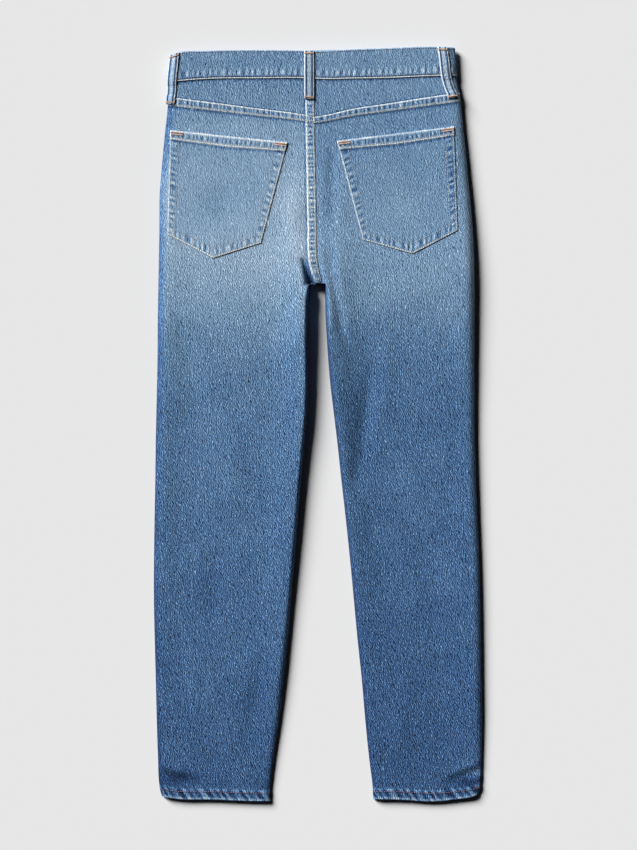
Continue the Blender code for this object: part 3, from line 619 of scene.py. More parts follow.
@dataclass(frozen=True)
class Dye:
    """How far the dye has faded over the garment, with painted shade and light mixed in, from nought, dark, to one,
    nearly white.
    """

    spots: Table = Table("across height half_width half_height amount", (
        (-30.0, 300.0, 17.0, 75.0, 0.055), (-203.0, 305.0, 13.0, 62.0, 0.085),
        # Rows at (-130, 292), (14, 300), (-140, -215), (-80, -370) and (60, 40) darken the cloth along troughs of the
        # folds table.
        (-130.0, 292.0, 34.0, 30.0, -0.055), (-60.0, 215.0, 52.0, 40.0, 0.03),
        (14.0, 300.0, 9.0, 70.0, -0.06), (115.0, 300.0, 45.0, 40.0, 0.025),
        (-140.0, -215.0, 26.0, 44.0, -0.045), (-80.0, -370.0, 15.0, 62.0, -0.04),
        # Rows at (-184, -470) and (198, -474) are painted shade in the creases above the hems; the row at (202, -459.5)
        # is a painted highlight on the ridge of the right one.
        (60.0, 40.0, 17.0, 95.0, -0.035), (-184.0, -470.0, 27.0, 8.0, -0.20),
        (198.0, -474.0, 21.0, 6.0, -0.20), (202.0, -459.5, 19.0, 3.2, 0.15), (-120.0, 90.0, 55.0, 60.0, 0.01),
        (-110.0, 395.0, 60.0, 10.0, 0.05), (140.0, -60.0, 30.0, 120.0, 0.012),
        (-148.0, -60.0, 30.0, 90.0, 0.015), (-155.0, -370.0, 22.0, 70.0, 0.02),
    ))

    def at(self, side: Side, across: np.ndarray, height: np.ndarray) -> np.ndarray:
        """Fading from the height table, soft spots, painted shade along the left outer edge and a paler right outer
        edge.

        Args:
            side: the half of the garment.
            across: places along X.
            height: places along Y.

        Returns:
            Faded dye and painted shading at each point.
        """
        total = FADE_AND_SIDE_LIGHT.at(side.word, height) + 0 * across
        for x, y, half_width, half_height, amount in self.spots.rows:
            total += amount * np.exp(-((across - x) / half_width) ** 2 - ((height - y) / half_height) ** 2)
        edge = OUTLINE.at(f"{side.word}_out", height)
        # Painted shade along the left outer edge, strongest over the seat, where the cloth turns toward the lamp; the
        # right outer edge is made paler.
        if side is Side.LEFT:
            amount = (-0.04 - 0.10 * ramp(height, 60, 240)) * (1 - ramp(height, 400, 470))
            total += amount * soft_bell(across - edge - 3.0, 7.0)
        else:
            total += 0.05 * soft_bell(edge - across - 4.0, 6.0) * (1 - ramp(height, 400, 470))
        total += 0.012 * uneven(across * 0.8 + height * 0.35, 61.0, 1.3)
        return total + 0.012 * uneven(height - across * 0.4, 83.0, 3.2)

    def turned(self, fade: np.ndarray, normals: np.ndarray) -> np.ndarray:
        """Painted shade where the cloth turns over its left edges toward the lamp, and painted dark shade where it
        turns under.

        Args:
            fade: faded dye and painted shading of cloth that faces up.
            normals: the cloth's unit normals.

        Returns:
            Faded dye and painted shade at each point.
        """
        # Painted shade on faces that lean left, toward the lamp.
        leaning = np.clip(-normals[..., 0] - 0.06, 0, 1)
        # Painted dark shade, near the rawest dye colour, on faces that turn sideways or under.
        under = (1 - ramp(normals[..., 2], 0.05, 0.45)) * ramp(normals[..., 2], -0.97, -0.7)
        return (fade - 0.28 * leaning) * (1 - under) + 0.02 * under


CLOTH_FORM = LaidCloth()
DYE_AND_SHADING = Dye()


@dataclass
class BackPanel:
    """Back panel of one half: seat, lap of the yoke seam, leg and hem."""

    side: Side
    cloth: float = 1.2
    yoke_lap: Lap = Lap(width=9.5, seed=1.0)
    seat_lap: Lap = Lap(width=11.5, period=6.0, seed=2.2)
    hem_top: float = -484.5
    hem_cloth: float = 2.2
    hem_rise: float = 0.5
    skin: Skin = None

    def levels(self) -> np.ndarray:
        """Rows: closest together on the yoke lap, round the fork and at the hem."""
        form = CLOTH_FORM
        head = np.linspace(form.yoke_foot - form.half_gap, form.yoke_foot - 11.0, 14)
        seat = np.arange(404.5, 205.0, -1.7 if self.side is Side.LEFT else -3.3)
        fork = np.arange(202.5, form.crotch + 0.5, -1.5)
        bend = form.crotch - np.array((0.0, 0.12, 0.4, 0.8, 1.4, 2.1, 2.9, 3.6, 4.6))
        below = np.arange(180.8, 150.0, -1.8)
        leg = np.arange(149.0, -452.0, -6.0)
        crease = np.arange(-454.0, self.hem_top + 0.8, -2.2)
        hem = np.linspace(self.hem_top + 0.4, form.hem_foot, 16)
        return np.concatenate((head, seat, fork, bend, below, leg, crease, hem))

    def build(self) -> Skin:
        """Raises the seam laps and the hem, with their puckers, from the section lines.

        Returns:
            The panel's skin.
        """
        form = CLOTH_FORM
        levels = self.levels()
        grid, spots, length = form.grid(self.side, levels, PANEL_PLACES)
        level = levels[:, None] + 0 * spots
        normals = normals_of(grid, (20, 40))
        x, y = grid[..., 0], grid[..., 1]
        below_yoke = form.bent_height(form.yoke_foot, x) - y
        lap_width = form.bent_height(form.yoke_foot, x) - form.bent_height(form.yoke_foot - 9.5, x)
        far = below_yoke * self.yoke_lap.width / lap_width
        on_top = ramp(spots, 4.0, 12.0)
        rise = self.yoke_lap.form(far, x)
        wear = self.yoke_lap.wear(far, x) * on_top
        if self.side is Side.LEFT:
            seat = ramp(level, form.crotch - 0.3, form.crotch + 0.1)
            from_seam = length[:, None] - spots
            rise = np.maximum(rise, self.seat_lap.form(from_seam, y) * seat)
            fade_end = 1 - 0.6 * (1 - ramp(level, form.crotch, form.crotch + 30))
            mix = seat * (1 - ramp(from_seam, 12.0, 15.0))
            wear = wear * (1 - mix * 0.6) + self.seat_lap.wear(from_seam, y) * seat * fade_end
        if self.side is Side.LEFT:
            # Painted shade in the cleft left of the seat seam, darker where the cleft is deeper.
            wear = wear - 0.05 * form.cleft(x, y)
        hem_far = y - form.bent_height(form.hem_foot, x)
        hem = level < self.hem_top
        roping = ladder(x * 0.75 + hem_far * 0.55, 8.6, 3.1 + self.side.value)
        band = ramp(hem_far, -0.5, 1.5) * (1 - ramp(hem_far, 12.0, 14.5))
        rise = rise + (self.hem_rise * hem + 0.3 * roping * band * soft_bell(hem_far - 6.5, 5.0)) * on_top
        rise = rise + self.seam_creases(x, y)
        frayed = 0.7 + 0.5 * ladder(x, 5.2, 0.8) * ladder(x, 13.0, 2.0)
        wear = wear + on_top * (0.26 * roping * band + 0.24 * soft_bell(hem_far - 13.8, 1.5) * (0.4 + 0.6 * roping))
        wear = wear + on_top * (0.46 * soft_bell(hem_far - 1.6, 2.0) * frayed - 0.14 * soft_bell(hem_far - 10.4, 1.1))
        thick = np.where(hem, self.hem_cloth - self.hem_rise, self.cloth)
        outer = raised(grid, normals, rise)
        inner = grid - normals * thick[..., None]
        spread = np.stack((spots * -self.side.value, y), axis=2)
        fade = DYE_AND_SHADING.turned(DYE_AND_SHADING.at(self.side, x, y), normals)
        self.skin = Skin(outer, inner, spread, fade, wear)
        return self.skin

    def seam_creases(self, x: np.ndarray, y: np.ndarray) -> np.ndarray:
        """Short soft drags that fan out from the fork and lean down the thigh.

        Args:
            x: places along X.
            y: places along Y.

        Returns:
            Rise at each point.
        """
        total = np.zeros_like(x)
        for fx, fy, reach, turn, rise in DRAGS[self.side.word]:
            run = np.array((np.cos(np.radians(turn)), np.sin(np.radians(turn))))
            along = (x - fx) * run[0] + (y - fy) * run[1]
            aside = (x - fx) * run[1] - (y - fy) * run[0]
            width = 3.4 + 0.05 * np.abs(along)
            shape = ramp(along, 0, reach * 0.3) * (1 - ramp(along, reach * 0.55, reach))
            total += rise * shape * soft_bell(aside, width)
        return total


DRAGS = {
    "left": ((-30.0, 205.0, 90.0, 118.0, 0.5), (-24.0, 180.0, 80.0, 236.0, -0.6),
             (-16.0, 160.0, 110.0, 255.0, 0.4), (-205.0, 180.0, 80.0, -62.0, -0.4),
             (-150.0, -180.0, 70.0, -60.0, 0.5), (-72.0, -250.0, 80.0, 240.0, -0.5)),
    "right": ((20.0, 160.0, 100.0, -62.0, 0.6), (14.0, 140.0, 90.0, -78.0, -0.5),
              (30.0, 235.0, 80.0, -48.0, 0.4), (200.0, 170.0, 90.0, 242.0, -0.4),
              (150.0, -190.0, 80.0, 245.0, 0.4), (90.0, -300.0, 80.0, -75.0, -0.4)),
}


@dataclass
class Yoke:
    """Yoke of one half, between the waistband and the back panel."""

    side: Side
    cloth: float = 1.2
    seat_lap: Lap = Lap(width=11.5, period=6.0, seed=2.2)
    skin: Skin = None

    def build(self) -> Skin:
        """Grid between the band's foot and the yoke seam, with the seat seam's lap on the left.

        Returns:
            The yoke's skin.
        """
        form = CLOTH_FORM
        levels = np.concatenate((np.linspace(form.band_foot - form.half_gap, 454.0, 4), np.arange(452.2, 425.0, -1.8),
                                 np.linspace(424.0, form.yoke_foot + form.half_gap, 8)))
        grid, spots, length = form.grid(self.side, levels, PANEL_PLACES)
        normals = normals_of(grid, (5, 40))
        x, y = grid[..., 0], grid[..., 1]
        on_top = ramp(spots, 4.0, 12.0)
        above_seam = y - form.bent_height(form.yoke_foot, x)
        below_band = form.bent_height(form.band_foot, x) - y
        drag = ladder(x, 7.5, 4.0) * soft_bell(above_seam - 1.0, 5.0)
        under_band = ladder(x, 6.8, 0.7) * soft_bell(below_band - 2.0, 5.0)
        rise = 0.22 * drag + 0.15 * under_band
        # The dark band just under the waistband's foot is painted shade from the band's lap; the rest is worn
        # puckering.
        wear = on_top * (0.05 * drag + 0.06 * under_band - 0.16 * soft_bell(below_band - 1.2, 1.6))
        wear = wear - on_top * 0.14 * soft_bell(above_seam - 0.6, 1.3)
        if self.side is Side.LEFT:
            from_seam = length[:, None] - spots
            rise = rise + self.seat_lap.form(from_seam, y)
            wear = wear + self.seat_lap.wear(from_seam, y)
        outer = raised(grid, normals, rise)
        inner = grid - normals * self.cloth
        spread = np.stack((spots * -self.side.value, y), axis=2)
        self.skin = Skin(outer, inner, spread, DYE_AND_SHADING.turned(DYE_AND_SHADING.at(self.side, x, y), normals), wear)
        return self.skin


@dataclass
class Waistband:
    """Folded band all round the waist, open by a seam's width at the centre front."""

    rise: float = 1.0
    cloth: float = 2.2
    front_columns: int = 56
    skin: Skin = None
    turn_at: int = 0

    def levels(self) -> np.ndarray:
        """Rows from the top edge to the foot, closest together at both."""
        form = CLOTH_FORM
        return np.concatenate((np.linspace(form.band_top, 492.0, 7), np.arange(490.0, 472.0, -2.0),
                               np.linspace(471.0, form.band_foot + form.half_gap, 16)))

    def build(self) -> Skin:
        """One ring of points for each level: front left, back left to right, front right.

        Returns:
            The band's skin.
        """
        form = CLOTH_FORM
        levels = self.levels()
        level = levels[:, None]
        halves = []
        for side in Side:
            seam = SEAT_SEAM.at("across", level)
            points, _, _ = form.grid(side, levels, PANEL_PLACES)
            start = seam + side.value * form.seam_gap
            share = np.linspace(0, 1, self.front_columns, endpoint=False)[None, :]
            x = start + (points[:, :1, 0] - start) * share
            z = points[:, :1, 2] + 0 * x
            front = np.stack((x, form.front_height(side, level, x), z), axis=2)
            line = np.concatenate((front, points[:, :-1]), axis=1)
            halves.append(line if side is Side.LEFT else line[:, ::-1])
        grid = np.concatenate(halves, axis=1)
        self.turn_at = halves[0].shape[1]
        normals = normals_of(grid, (3, self.front_columns + 40))
        x, y = grid[..., 0], grid[..., 1]
        steps = np.hypot(np.diff(x, axis=1), np.diff(grid[..., 2], axis=1))
        run = np.concatenate((0 * x[:, :1], np.cumsum(steps, axis=1)), axis=1)
        above_foot = level - form.band_foot + 0 * x
        below_top = form.band_top - level + 0 * x
        puckers = ladder(x * 1.0 + run * 0.02, 8.2, 0.4)
        top_ease = ladder(x, 10.5, 2.9)
        swell = 0.36 * puckers * soft_bell(above_foot - 8.0, 4.2) + 0.16 * top_ease * soft_bell(below_top - 6.0, 4.0)
        sewn = -0.25 * soft_bell(above_foot - 2.2, 0.8) - 0.2 * soft_bell(below_top - 2.2, 0.8)
        edge = -0.15 * soft_bell(above_foot, 0.6) - 0.5 * soft_bell(below_top, 0.9)
        bulge = self.rise + (swell + sewn) * np.clip(normals[..., 2], 0, 1) + edge
        outer = grid + normals * bulge[..., None]
        inner = grid + normals * (self.rise - self.cloth)
        shown = np.clip(normals[..., 2] * 2, 0, 1)
        wear = 0.30 * puckers * soft_bell(above_foot - 8.2, 4.0) + 0.06 * soft_bell(above_foot - 8.0, 6.0) - 0.01
        wear = wear + 0.62 * soft_bell(above_foot - 0.7, 1.0) - 0.20 * soft_bell(above_foot - 3.0, 0.9)
        wear = wear + 0.06 * top_ease * soft_bell(below_top - 5.0, 3.5) + 0.13 * soft_bell(below_top - 0.3, 1.2)
        side = Side.LEFT
        fade = np.where(x < 0, DYE_AND_SHADING.at(Side.LEFT, x, y), DYE_AND_SHADING.at(Side.RIGHT, x, y)) + 0.01
        spread = np.stack((run, y), axis=2)
        self.skin = Skin(outer, inner, spread, fade, wear * shown)
        return self.skin


@dataclass
class BeltLoop:
    """Belt loop on the back, over the band and the head of the yoke."""

    word: str
    side: Side
    start: float
    lean: float = 0.0
    width: float = 13.3
    cloth: float = 1.25
    lift: float = 0.3
    arch: float = 0.4
    foot: float = 435.8
    laps_under: bool = False
    skin: Skin = None

    def lift_off(self, levels: np.ndarray) -> np.ndarray:
        """Distance of the loop's underside from the section line: over the band, then down."""
        knots = np.array((409.0, 419.5, 424.0, 447.0, 453.0, 459.0, 466.0, 477.0, 488.0, 496.5))
        lap = 0.9 if self.laps_under else 0.0
        under = np.array((0.9, 0.9, lap, lap, 0.8, 1.0, 1.0, 1.0, 1.0, 1.0))
        bowed = np.array((0, 0, 0, 0, 0, 0, self.arch, self.arch, self.arch, 0))
        return np.interp(levels, knots, under + bowed) + self.lift

    def build(self) -> Skin:
        """Grid laid on the band's section line, with folded edges and two sewn grooves.

        Returns:
            The loop's skin.
        """
        form = CLOTH_FORM
        levels = np.concatenate((np.linspace(496.5, 492.0, 5), np.arange(490.4, self.foot + 5.5, -1.6),
                                 np.linspace(self.foot + 4.0, self.foot, 5)))
        share = np.linspace(0, 1, 17)
        shift = self.lean * (levels[0] - levels) / (levels[0] - levels[-1])
        places = self.start + share[None, :] * self.width + shift[:, None]
        grid, _, _ = form.grid(self.side, levels, Picked(tuple(map(tuple, places))))
        normals = normals_of(grid, (14, 8))
        low = grid + normals * self.lift_off(levels)[:, None, None]
        across = (share[None, :] * self.width) + 0 * places
        sewn = soft_bell(across - 2.8, 0.9) + soft_bell(self.width - across - 2.8, 0.9)
        rim = soft_bell(across, 0.8) + soft_bell(self.width - across, 0.8)
        along = levels[0] - levels[:, None] + 0 * across
        ridges = ladder(along, 6.2, 1.9 + self.start * 0.01) * soft_bell(across - self.width / 2, 3.6)
        ends = soft_bell(along - 3.0, 2.0) + soft_bell(along[-1:] - along - 3.0, 2.0)
        form_rise = self.cloth - 0.3 * sewn - 0.5 * rim + 0.18 * ridges - 0.35 * ends
        high = low + normals * form_rise[..., None]
        wear = 0.20 * soft_bell(across - self.width / 2, 3.0) + 0.06 * ridges - 0.50 * sewn
        wear = wear + 0.50 * (soft_bell(across - 0.6, 0.9) + soft_bell(self.width - across - 0.6, 0.9))
        spread = np.stack((across + 40.0 * self.start, grid[..., 1]), axis=2)
        fade = DYE_AND_SHADING.at(self.side, grid[..., 0], grid[..., 1]) + 0.05
        self.skin = Skin(high, low, spread, fade, wear)
        return self.skin


def panel_height(side: Side, across: np.ndarray, height: np.ndarray) -> np.ndarray:
    """Height of the back panel's plain surface over points of the plan.

    The level is found from the point's height by running the bent rows backward. Near the
    outer side the surface is a quarter ellipse, further in it is the top of the cloth.

    Args:
        side: the half of the garment.
        across: places along X.
        height: places along Y.

    Returns:
        Heights above the table.
    """
    form = CLOTH_FORM
    levels = np.array((form.leg_level, form.level_again, form.yoke_foot, form.band_foot))
    flat = 0 * across
    lines = np.stack((flat + form.leg_level, flat + form.level_again, WAIST_LINES.at("yoke_foot", across),
                      WAIST_LINES.at("band_foot", across)))
    low = (height > lines[1]).astype(int) + (height > lines[2])
    below = np.take_along_axis(lines, low[None], axis=0)[0]
    above = np.take_along_axis(lines, low[None] + 1, axis=0)[0]
    level = levels[low] + (height - below) / (above - below) * (levels[low + 1] - levels[low])
    inward = np.abs(across - form.side_edge(side, level))
    lift = form.lift(level)
    widest = lift + form.widest_share * (THICKNESS.at("middle", level) - lift)
    top = form.top(side, level, inward)
    cosine = np.clip(1 - inward / THICKNESS.at("outer_round", level), 0, 1)
    return widest + (top - widest) * np.sqrt(1 - cosine ** 2)


@dataclass
class PatchPocket:
    """Patch pocket laid on the seat: straight sides, a hemmed opening and a pointed foot."""

    side: Side
    corners: dict
    cloth: float = 0.85
    gap: float = 0.15
    hem: float = 12.0
    hem_rise: float = 0.7
    outer_row: float = 1.7
    inner_row: float = 11.4
    skin: Skin = None
    down: np.ndarray = None
    across: np.ndarray = None

    def plan(self, across: np.ndarray, down: np.ndarray) -> np.ndarray:
        """Points of the pocket's outline and inside, by shares across and down."""
        named = {key: np.array(value) for key, value in self.corners.items()}
        share = across[None, :, None]
        fall = down[:, None, None]
        head = named["open_outer"] + share * (named["open_inner"] - named["open_outer"])
        first = named["foot_outer"] + np.minimum(share / 0.5, 1) * (named["point"] - named["foot_outer"])
        foot = first + np.maximum(share / 0.5 - 1, 0) * (named["foot_inner"] - named["point"])
        return head + fall * (foot - head)

    def build(self) -> Skin:
        """Lays the pocket's grid on the panel and works its hem, edges and puckers.

        Returns:
            The pocket's skin.
        """
        edge = np.array((0.0, 0.6, 1.2, 1.8, 2.5, 3.4, 4.6, 5.9, 7.2, 8.3, 9.2, 10.2, 11.2))
        self.across = np.concatenate((edge / 150, np.linspace(12.4, 137.6, 96) / 150, 1 - edge[::-1] / 150))
        head = np.array((0.0, 0.6, 1.2, 1.9, 2.8, 4.2, 6.0, 7.8, 9.2, 10.2, 11.0, 11.6, 12.2, 12.8, 13.8))
        self.down = np.concatenate((head / 140, np.linspace(15.0, 127.4, 70) / 140, 1 - edge[::-1] / 140))
        plan = self.plan(self.across, self.down)
        x, y = plan[..., 0], plan[..., 1]
        base = np.stack((x, y, panel_height(self.side, x, y)), axis=2)
        normals = normals_of(base, (20, 40))
        low = base + normals * self.gap
        from_left = self.across[None, :] * 150 + 0 * x
        from_right = 150 - from_left
        from_foot = (1 - self.down[:, None]) * 140 + 0 * x
        from_head = self.down[:, None] * 140 + 0 * x
        side_far = np.minimum(from_left, from_right)
        edge_far = np.minimum(side_far, from_foot)
        on_side = side_far < from_foot
        along = np.where(on_side, y + 0.4 * from_left, x * 1.06)
        puckers = ladder(along, 8.6, 1.4 + self.side.value)
        rows = soft_bell(edge_far - self.outer_row, 0.8) + soft_bell(edge_far - self.inner_row, 0.9)
        between = soft_bell(edge_far - 6.4, 4.0) * ramp(from_head, 6, 16)
        point = soft_bell(np.hypot(from_left - 75, (from_foot - 4) * 1.4), 26.0) * ladder(x, 6.4, 0.9)
        hem = 1 - ramp(from_head, self.hem - 0.5, self.hem + 0.5)
        hem_steps = ladder(from_left, 6.2, 2.6) * soft_bell(from_head - 6.4, 3.4)
        beneath = ladder(from_left, 8.0, 4.4) * soft_bell(from_head - 15.5, 2.8)
        hem_sewn = soft_bell(from_head - 9.6, 0.8)
        thick = self.cloth + self.hem_rise * hem - 0.22 * rows + 0.34 * between * puckers + 0.22 * hem_steps
        thick = thick + 0.22 * point * ramp(from_foot, 0, 3) + 0.14 * beneath - 0.3 * hem_sewn
        thick = thick - 0.12 * soft_bell(edge_far, 0.5) - 0.2 * soft_bell(from_head, 0.7)
        outer = low + normals * thick[..., None]
        wear = 0.26 * between * puckers + 0.34 * hem_steps * soft_bell(from_head - 6.2, 3.0)
        # The pale line round the edges is worn cloth; on the left side, which the lamp lights, it is painted less pale,
        # a painted shade.
        lamp_side_share = soft_bell(from_left, 3.0)
        wear = wear + (0.46 - 0.20 * lamp_side_share) * soft_bell(edge_far - 0.8, 1.0)
        wear = wear + 0.36 * soft_bell(from_head - 1.1, 1.3)
        wear = wear + 0.50 * soft_bell(from_head - 11.4, 1.0) - 0.13 * rows + 0.12 * point + 0.10 * beneath
        wear = wear - 0.22 * soft_bell(from_head - 13.9, 1.2) + self.print_through(from_left, from_foot)
        for spot, half_width in self.nick():
            wear = wear + 0.4 * soft_bell(from_left - spot, half_width) * soft_bell(from_head, 1.8)
        spread = np.stack((x + 500.0 * self.side.value, y), axis=2)
        fade = DYE_AND_SHADING.at(self.side, x, y) - 0.01
        self.skin = Skin(outer, low, spread, fade, wear)
        return self.skin

    def nick(self) -> tuple:
        """Frayed white places on the opening's edge, as distance from the left and half width."""
        if self.side is Side.LEFT:
            return ((39.0, 5.5), (112.0, 2.0), (147.0, 1.6))
        return ((111.0, 4.5), (38.0, 2.2), (2.5, 1.8))

    def print_through(self, from_left: np.ndarray, from_foot: np.ndarray) -> np.ndarray:
        """Darker sheltered cloth along one side of the pocket, where the blobs are strongest."""
        blobs = soft_bell(from_left - 5.0, 4.0) * soft_bell(from_foot - 72.0, 38.0)
        return -0.12 * blobs * (1 + ladder(from_foot, 9.0, 3.7))


@dataclass
class FlatPiece:
    """Flat piece of the underside: an outline by levels, softly waved on its inner face."""

    name: str
    node: str
    side: Side
    outer_edge: object
    inner_edge: object
    top: float
    foot: float
    above: float = 0.0
    cloth: float = 1.2
    columns: int = 30
    pitch: float = 4.5
    skin: Skin = None

    def build(self) -> Skin:
        """Grid between the two edges, with a doubled hem at the foot of the leg.

        Returns:
            The piece's skin, outer face down.
        """
        form = CLOTH_FORM
        count = max(int((self.top - self.foot) / self.pitch), 8)
        levels = np.linspace(self.top, self.foot, count)
        marks = np.array([m for m in (187.0, 186.5, 185.5, 183.8) if self.foot < m < self.top])
        levels = np.sort(np.concatenate((levels, marks)))[::-1]
        level = levels[:, None]
        start = np.array([float(self.outer_edge(value)) for value in levels])[:, None]
        end = np.array([float(self.inner_edge(value)) for value in levels])[:, None]
        x = start + (end - start) * np.linspace(0, 1, self.columns)[None, :]
        y = form.front_height(self.side, level, x)
        wave = 0.22 * (1 + uneven(y * 0.8 + x * 0.5, 52.0, 1.1 + self.side.value))
        margin = np.minimum(np.abs(x - start), np.abs(x - end))
        wave = wave * ramp(margin, 3.0, 14.0) * (self.above == 0.0)
        low = np.stack((x, y, form.lift(level) + self.above + wave), axis=2)
        hem = ramp(-level, 484.0, 485.2) + 0 * x
        thick = self.cloth + hem * (2.2 - self.cloth)
        high = low + np.stack((0 * x, 0 * x, thick), axis=2)
        edge = soft_bell(margin, 1.4)
        hem_far = y - form.bent_height(form.hem_foot, x)
        wear = 0.13 * edge + 0.14 * soft_bell(hem_far - 0.8, 1.2)
        wear = wear + 0.12 * ladder(x * 0.75 + hem_far * 0.55, 8.6, 5.0) * soft_bell(hem_far - 7.0, 5.0)
        spread = np.stack((x + 900.0, y), axis=2)
        fade = DYE_AND_SHADING.at(self.side, x, y) - 0.02
        self.skin = Skin(low, high, spread, fade, wear)
        return self.skin


@dataclass(frozen=True)
class Underside:
    """Edges of the flat pieces that the garment lies on: fronts, pocket mouths and fly."""

    mouth_width: float = 78.0
    mouth_depth: float = 95.0
    fly_width: float = 38.0
    fly_straight: float = 345.0
    fly_foot: float = 308.0

    def mouth(self, level: float) -> float:
        """Width of the pocket mouth at a level."""
        drop = np.clip((CLOTH_FORM.band_foot - level) / self.mouth_depth, 0, 1)
        return self.mouth_width * (1 - drop ** 1.7)

    def fly(self, level: float) -> float:
        """Width of the fly flap at a level, with its foot curved to the centre front."""
        drop = np.clip((self.fly_straight - level) / (self.fly_straight - self.fly_foot + 1.0), 0, 1)
        return self.fly_width * np.sqrt(1 - drop ** 2) * (level > self.fly_foot - 0.01)

    def outer(self, side: Side, level: float) -> float:
        """Edge beside the back panel's turned edge."""
        form = CLOTH_FORM
        return form.side_edge(side, level) - side.value * (form.turn_under + form.seam_gap)

    def inner(self, side: Side, level: float) -> float:
        """The centre front, or the inseam below the fork."""
        form = CLOTH_FORM
        leg = INSEAMS.at(f"{side.word}_in", level)
        room = form.fork_room * np.clip(1 - (form.crotch - level) / form.fork_length, 0, 1)
        below = leg + side.value * (form.inseam_turn(level) + form.seam_gap + room)
        above = SEAT_SEAM.at("across", level) + side.value * form.half_gap
        return below + (above - below) * np.clip((level - form.crotch - 2.0) / form.fork_draw, 0, 1)

    def front(self, side: Side) -> FlatPiece:
        """Front panel of one side, cut away for the pocket mouth and the fly."""
        gap = CLOTH_FORM.seam_gap

        def outer(level: float) -> float:
            mouth = self.mouth(level)
            return self.outer(side, level) - side.value * (mouth + gap * (mouth > 0.5))

        def inner(level: float) -> float:
            fly = self.fly(level) if side is Side.LEFT else 0.0
            return self.inner(side, level) + side.value * (fly + gap * (fly > 0))

        name = f"front_leg_{side.word}"
        return FlatPiece(name, name, side, outer, inner, 457.85, CLOTH_FORM.hem_foot, columns=44)

    def facing(self, side: Side) -> FlatPiece:
        """Cloth that shows in one front pocket's mouth."""
        name = f"pocket_facing_{side.word}"
        return FlatPiece(name, name, side, lambda level: self.outer(side, level),
                         lambda level: self.outer(side, level) - side.value * self.mouth(level),
                         457.85, 372.0, columns=20, pitch=3.0)

    def flap(self) -> FlatPiece:
        """Flap over the zip."""
        side = Side.LEFT
        return FlatPiece("fly_flap", "fly_flap", side, lambda level: self.inner(side, level) - self.fly(level),
                         lambda level: self.inner(side, level), 457.85, self.fly_foot, columns=18, pitch=2.5)


def along_path(path: np.ndarray, spots: np.ndarray) -> np.ndarray:
    """Rows of a path of points and normals, read at distances along it."""
    steps = np.linalg.norm(np.diff(path[:, :3], axis=0), axis=1)
    run = np.concatenate(((0.0,), np.cumsum(steps)))
    return np.stack([np.interp(spots, run, path[:, k]) for k in range(path.shape[1])], axis=-1)


def path_length(path: np.ndarray) -> float:
    """Length of a path of points."""
    return float(np.linalg.norm(np.diff(path[:, :3], axis=0), axis=1).sum())


@dataclass(frozen=True)
class Thread:
    """Sewing thread, with the form of one stitch: a short arch whose ends sink into the cloth."""

    radius: float = 0.36
    arch: float = 0.30
    sink: float = 0.25
    sides: int = 5

    def mesh(self, name: str, starts: np.ndarray, ends: np.ndarray) -> bpy.types.Mesh:
        """All stitches of a piece as one mesh.

        Four rings along each stitch, the middle two full and raised, the end ones thin.

        Args:
            name: the mesh's name.
            starts: points and normals where the stitches start, in six columns.
            ends: the same where they end.

        Returns:
            The joined mesh.
        """
        share = np.array((0.0, 0.24, 0.76, 1.0))
        full = np.array((0.25, 1.0, 1.0, 0.25))
        bow = np.array((-self.sink, self.arch, self.arch, -self.sink))
        line = ends[:, :3] - starts[:, :3]
        normal = starts[:, 3:] + ends[:, 3:]
        normal = normal / np.linalg.norm(normal, axis=1, keepdims=True)
        aside = np.cross(normal, line)
        aside = aside / np.maximum(np.linalg.norm(aside, axis=1, keepdims=True), 1e-9)
        turn = np.linspace(0, 2 * np.pi, self.sides, endpoint=False)
        centre = starts[:, None, :3] + line[:, None] * share[None, :, None] + normal[:, None] * bow[None, :, None]
        ring = aside[:, None, :] * np.cos(turn)[None, :, None] + normal[:, None, :] * np.sin(turn)[None, :, None]
        points = centre[:, :, None, :] + ring[:, None] * (self.radius * full)[None, :, None, None]
        count = len(starts)
        index = np.arange(count * 4 * self.sides).reshape(count, 4, self.sides)
        after = np.roll(index, -1, axis=2)
        cells = np.stack((index[:, :-1], after[:, :-1], after[:, 1:], index[:, 1:]), axis=-1)
        return mesh_of(name, points.reshape(-1, 3), cells.reshape(-1, 4))


class Sewing:
    """Stitches of one thread on one sub-assembly, gathered row by row and made into one piece."""

    def __init__(self, name: str, thread: Thread) -> None:
        """Starts with no stitches.

        Args:
            name: name of the piece that they become.
            thread: the thread's form.
        """
        self.name = name
        self.thread = thread
        self.starts = []
        self.ends = []

    def row(self, path: np.ndarray, pitch: float = 3.3, drawn: float = 0.78) -> None:
        """Even stitches along a path.

        Args:
            path: points and normals, in six columns.
            pitch: distance from one stitch to the next.
            drawn: share of the pitch that shows as thread.
        """
        length = path_length(path)
        count = max(int(length / pitch), 1)
        step = length / count
        begin = (np.arange(count) + (1 - drawn) / 2) * step
        self.starts.append(along_path(path, begin))
        self.ends.append(along_path(path, begin + drawn * step))

    def tack(self, path: np.ndarray, width: float, threads: int = 15) -> None:
        """Bar tack along a short path: threads laid close together across it, leaning in turn.

        Args:
            path: points and normals along the tack's middle.
            width: length of its threads.
            threads: how many.
        """
        length = path_length(path)
        spots = (np.arange(threads) + 0.5) / threads * length
        middle = along_path(path, spots)
        line = path[-1, :3] - path[0, :3]
        line = line / np.linalg.norm(line)
        aside = np.cross(middle[:, 3:], line)
        lean = np.where(np.arange(threads) % 2, 0.45, -0.45)[:, None] * line * (length / threads)
        start = middle.copy()
        end = middle.copy()
        start[:, :3] += -aside * width / 2 - lean + middle[:, 3:] * 0.2
        end[:, :3] += aside * width / 2 + lean + middle[:, 3:] * 0.2
        self.starts.append(start)
        self.ends.append(end)

    def build(self, look: bpy.types.Material) -> bpy.types.Object:
        """Joins every stitch into one object."""
        mesh = self.thread.mesh(self.name, np.concatenate(self.starts), np.concatenate(self.ends))
        return place(self.name, mesh, look)


